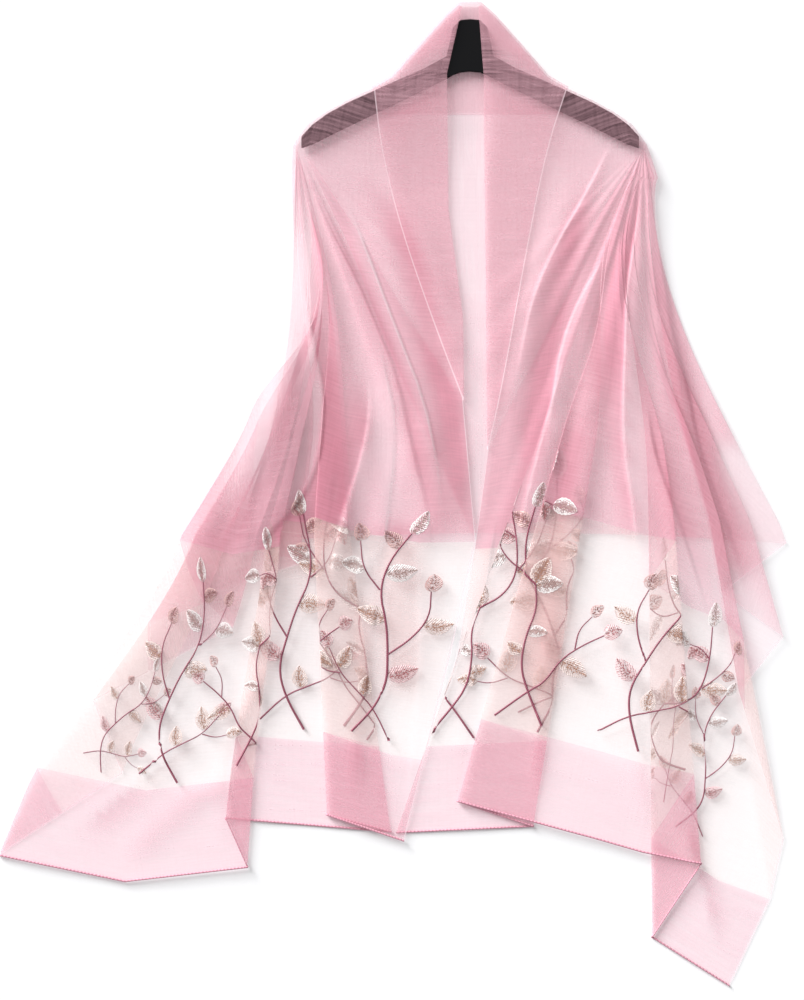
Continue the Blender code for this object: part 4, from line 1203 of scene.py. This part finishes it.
def seed_stitched():
    """Rayon thread: barbs that slant out from the midrib and, between them, seed stitches, with the sheer
    cloth showing through. Stitches are drawn about two millimetres apart, coarser than real ones, to show."""
    material, tree, shader = new_material("seed-stitched rayon leaves")
    cut, rim = place_on_cut(tree), attribute(tree, "rim")
    shade = mapped(tree, attribute(tree, "tone"), (0, 3), (0, 1))
    inner_thread, outer_thread = (colour_ramp(tree, shade, c) for c in (LEAF_INNER, LEAF_OUTER))
    place = add_node(tree, "ShaderNodeSeparateXYZ", {"Vector": cut})
    aside = maths(tree, "ABSOLUTE", place.outputs["Y"])
    slanted = maths(tree, "MULTIPLY_ADD", aside, BARB_SLANT, place.outputs["X"])
    barbs = maths(tree, "SINE", maths(tree, "MULTIPLY", slanted, 2 * np.pi / BARB_SPACING))
    seeds = add_node(tree, "ShaderNodeTexVoronoi", {"Vector": cut, "Scale": 1 / SEED_STITCH})
    lot = add_node(tree, "ShaderNodeSeparateXYZ", {"Vector": seeds.outputs["Color"]}).outputs["X"]
    lot = maths(tree, "MULTIPLY_ADD", lot, 0.6, 0.12)
    inner = maths(tree, "GREATER_THAN", maths(tree, "MULTIPLY_ADD", barbs, 0.16, lot), rim)
    stitched = mapped(tree, seeds.outputs["Distance"], (0.35, 0.62), (1, 0.3))
    fill(tree, shader, {
        "Base Color": mixed(tree, inner, outer_thread, inner_thread),
        "Alpha": maths(tree, "MAXIMUM", stitched, maths(tree, "GREATER_THAN", rim, LEAF_EDGE)),
        "Normal": bumped(tree, maths(tree, "SUBTRACT", barbs, seeds.outputs["Distance"]), 0.6, 0.0004),
        "Roughness": 0.45,
    })
    return material


def thread_mesh(name, grids, sign, material, tones=None):
    """Many small grids as one piece, each with its own length and width in metres as its UV map, and how far
    each point is from the middle of its row."""
    points, faces, cuts, rims, count = [], [], [], [], 0
    for grid, cut in grids:
        rows, columns = grid.shape[:2]
        faces.append(grid_faces(rows, columns, count))
        points.append(grid.reshape(-1, 3))
        cuts.append(cut.reshape(-1, 2))
        rims.append(np.broadcast_to(np.abs(np.linspace(-1, 1, columns)), (rows, columns)).ravel())
        count += rows * columns
    values = {}
    if tones:
        values = {"tone": np.concatenate([tone.ravel() for tone in tones]), "rim": np.concatenate(rims)}
    places = in_row_frame(np.concatenate(points), sign)
    return new_piece(name, places, np.concatenate(faces), np.concatenate(cuts), values, material)


cord_thread = satin_cord()
leaf_thread = seed_stitched()
for fan in FANS:
    name = fan.side.name
    sprays = SPRAYS[name]
    stems = [stem_tube(fan, spray, stem) for spray in sprays for stem in spray.motif.stems]
    blades = [leaf_blade(fan, spray, leaf) for spray in sprays for leaf in spray.motif.leaves]
    stem_piece = thread_mesh(f"embroidered_stems_{name}", stems, fan.side.sign, cord_thread)
    leaf_piece = thread_mesh(f"embroidered_leaves_{name}", [blade[:2] for blade in blades], fan.side.sign,
                             leaf_thread, [blade[2] for blade in blades])
    for piece in (stem_piece, leaf_piece):
        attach(piece, "root")
    cut_area(fronts[name])


# ---- Floor, light and camera -----------------------------------------------------------------------------
# The stole lies on a white floor under a broad soft light from the upper left, with a bright room round it.
# The camera looks straight down.

FLOOR_SIZE = 8.0
FRAME_HEIGHT = 1000 * 1.11
FRAME_CENTRE = (-75.5, 551.7)
CAMERA_HEIGHT = 3.4
SENSOR = 36
ROOM_STRENGTH = 0.45
LIGHTS_TURNED = 222
# Each light's strength, the size it seems, and how far it leans from straight above.
LIGHTS = (("key light", 3.1, 30, 62), ("low light", 2.9, 20, 79))


def studio_floor():
    """Matt white paint with a very faint unevenness."""
    material, tree, shader = new_material("matt white studio floor")
    place = add_node(tree, "ShaderNodeTexCoord").outputs["Object"]
    colour = mixed(tree, noise(tree, place, 9, 3), linear("#fafafc"), linear("#fefeff"))
    fill(tree, shader, {"Base Color": colour, "Roughness": 0.9})
    return material


floor_mesh = bpy.data.meshes.new("floor")
half_floor = FLOOR_SIZE / 2
floor_corners = [(x * half_floor, y * half_floor, 0) for x, y in ((-1, -1), (1, -1), (1, 1), (-1, 1))]
floor_mesh.from_pydata(floor_corners, [], [(0, 1, 2, 3)])
floor_mesh.materials.append(studio_floor())
floor = add_to_scene("floor", floor_mesh)

world = bpy.data.worlds.new("bright room")
bpy.context.scene.world = world
world.use_nodes = True
room = world.node_tree.nodes["Background"]
fill(world.node_tree, room, {"Color": linear("#ffffff"), "Strength": ROOM_STRENGTH})

for name, strength, size, lean in LIGHTS:
    light = bpy.data.lights.new(name, "SUN")
    light.energy = strength
    light.angle = np.radians(size)
    add_to_scene(name, light).rotation_euler = (np.radians(lean), 0, np.radians(LIGHTS_TURNED))

camera = bpy.data.cameras.new("camera")
camera.sensor_fit = "VERTICAL"
camera.sensor_height = SENSOR
camera.lens = CAMERA_HEIGHT / (FRAME_HEIGHT * MM) * SENSOR
eye = add_to_scene("camera", camera)
eye.location = (CENTRE_X + FRAME_CENTRE[0] * MM, PEAK_Y - FRAME_CENTRE[1] * MM, CAMERA_HEIGHT)
bpy.context.scene.camera = eye
bpy.context.scene.view_settings.view_transform = "Standard"
